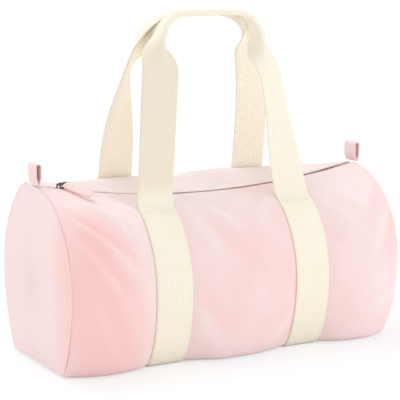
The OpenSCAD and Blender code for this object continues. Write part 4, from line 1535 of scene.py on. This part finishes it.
def floor_material():
    """Plain pale diffuse for the light, and for the camera part diffuse and part white glow. Near
    the bag, where the lamps add to the light, the glow is a little weaker, so the shadow stays."""
    made = bpy.data.materials.new("floor")
    made.use_nodes = True
    tree = made.node_tree
    tree.nodes.clear()
    output = tree.nodes.new("ShaderNodeOutputMaterial")
    away = tree.nodes.new("ShaderNodeVectorMath")
    away.operation = "LENGTH"
    tree.links.new(coordinates(tree)[1], away.inputs[0])
    strength = range_node(tree, away.outputs["Value"], GLOW_FROM, GLOW_TO, GLOW_NEAR, GLOW_FAR)
    glow = feed(tree, tree.nodes.new("ShaderNodeEmission"), {"Color": WHITE, "Strength": strength})
    both = tree.nodes.new("ShaderNodeAddShader")
    feed(tree, both, {0: grey_diffuse(tree, FLOOR_SHADE), 1: glow.outputs[0]})
    shown = split_by_ray(tree, grey_diffuse(tree, FLOOR_PALE), both.outputs[0])
    tree.links.new(shown, output.inputs["Surface"])
    return made


floor_corners = np.array([[-1, -1, 0], [1, -1, 0], [1, 1, 0], [-1, 1, 0]]) * FLOOR_SIZE / 2
floor = make_object("floor", floor_corners, [[0, 1, 2, 3]])
wear(floor, floor_material())

world = bpy.data.worlds.new("studio")
bpy.context.scene.world = world
world.use_nodes = True
sky = world.node_tree
light_sky = feed(sky, sky.nodes["Background"], {"Color": SKY_COLOUR, "Strength": SKY_STRENGTH})
white_sky = feed(sky, sky.nodes.new("ShaderNodeBackground"), {"Color": WHITE, "Strength": 1.0})
shown_sky = split_by_ray(sky, light_sky.outputs[0], white_sky.outputs[0])
sky.links.new(shown_sky, sky.nodes["World Output"].inputs["Surface"])
print("floor and world made")

# %% [markdown]
# Three large soft lamps are enough. The main one stands low to the right and in front, as the pale
# right-hand side of each panel shows, and a weaker one fills the left end. The third hangs behind
# and above. It brightens the top, and it throws the faint shadow that lies in front of the bag.

# %% Lamps and camera
def soft_lamp(name, place, target, size, power):
    """A rectangular area lamp, size metres wide and high, that faces its target."""
    data = bpy.data.lights.new(name, "AREA")
    data.shape = "RECTANGLE"
    data.size, data.size_y = size
    data.energy = power
    lamp = bpy.data.objects.new(name, data)
    bpy.context.scene.collection.objects.link(lamp)
    lamp.location = place
    lamp.rotation_euler = (Vector(target) - Vector(place)).to_track_quat("-Z", "Y").to_euler()


BAG_MIDDLE = (0, 0, 0.15)
soft_lamp("main_lamp", (1.9, -1.9, 0.55), BAG_MIDDLE, (2.0, 0.9), 24)
soft_lamp("fill_lamp", (-2.4, -0.5, 0.5), BAG_MIDDLE, (2.0, 0.8), 11)
soft_lamp("top_lamp", (-0.3, 0.7, 2.2), BAG_MIDDLE, (1.6, 1.6), 19)

CAMERA_PLACE = Vector((-0.915888, -1.658137, 0.498620))
CAMERA_TARGET = Vector((-0.004320, 0.0, 0.193440))
CAMERA_LENS, CAMERA_SENSOR = 129.25, 36.0
camera_data = bpy.data.cameras.new("camera")
camera_data.lens = CAMERA_LENS
camera_data.sensor_width = CAMERA_SENSOR
camera = bpy.data.objects.new("camera", camera_data)
bpy.context.scene.collection.objects.link(camera)
camera.location = CAMERA_PLACE
camera.rotation_euler = (CAMERA_TARGET - CAMERA_PLACE).to_track_quat("-Z", "Y").to_euler()
bpy.context.scene.camera = camera
bpy.context.scene.view_settings.view_transform = "Standard"
print("camera", [round(v, 3) for v in camera.location])
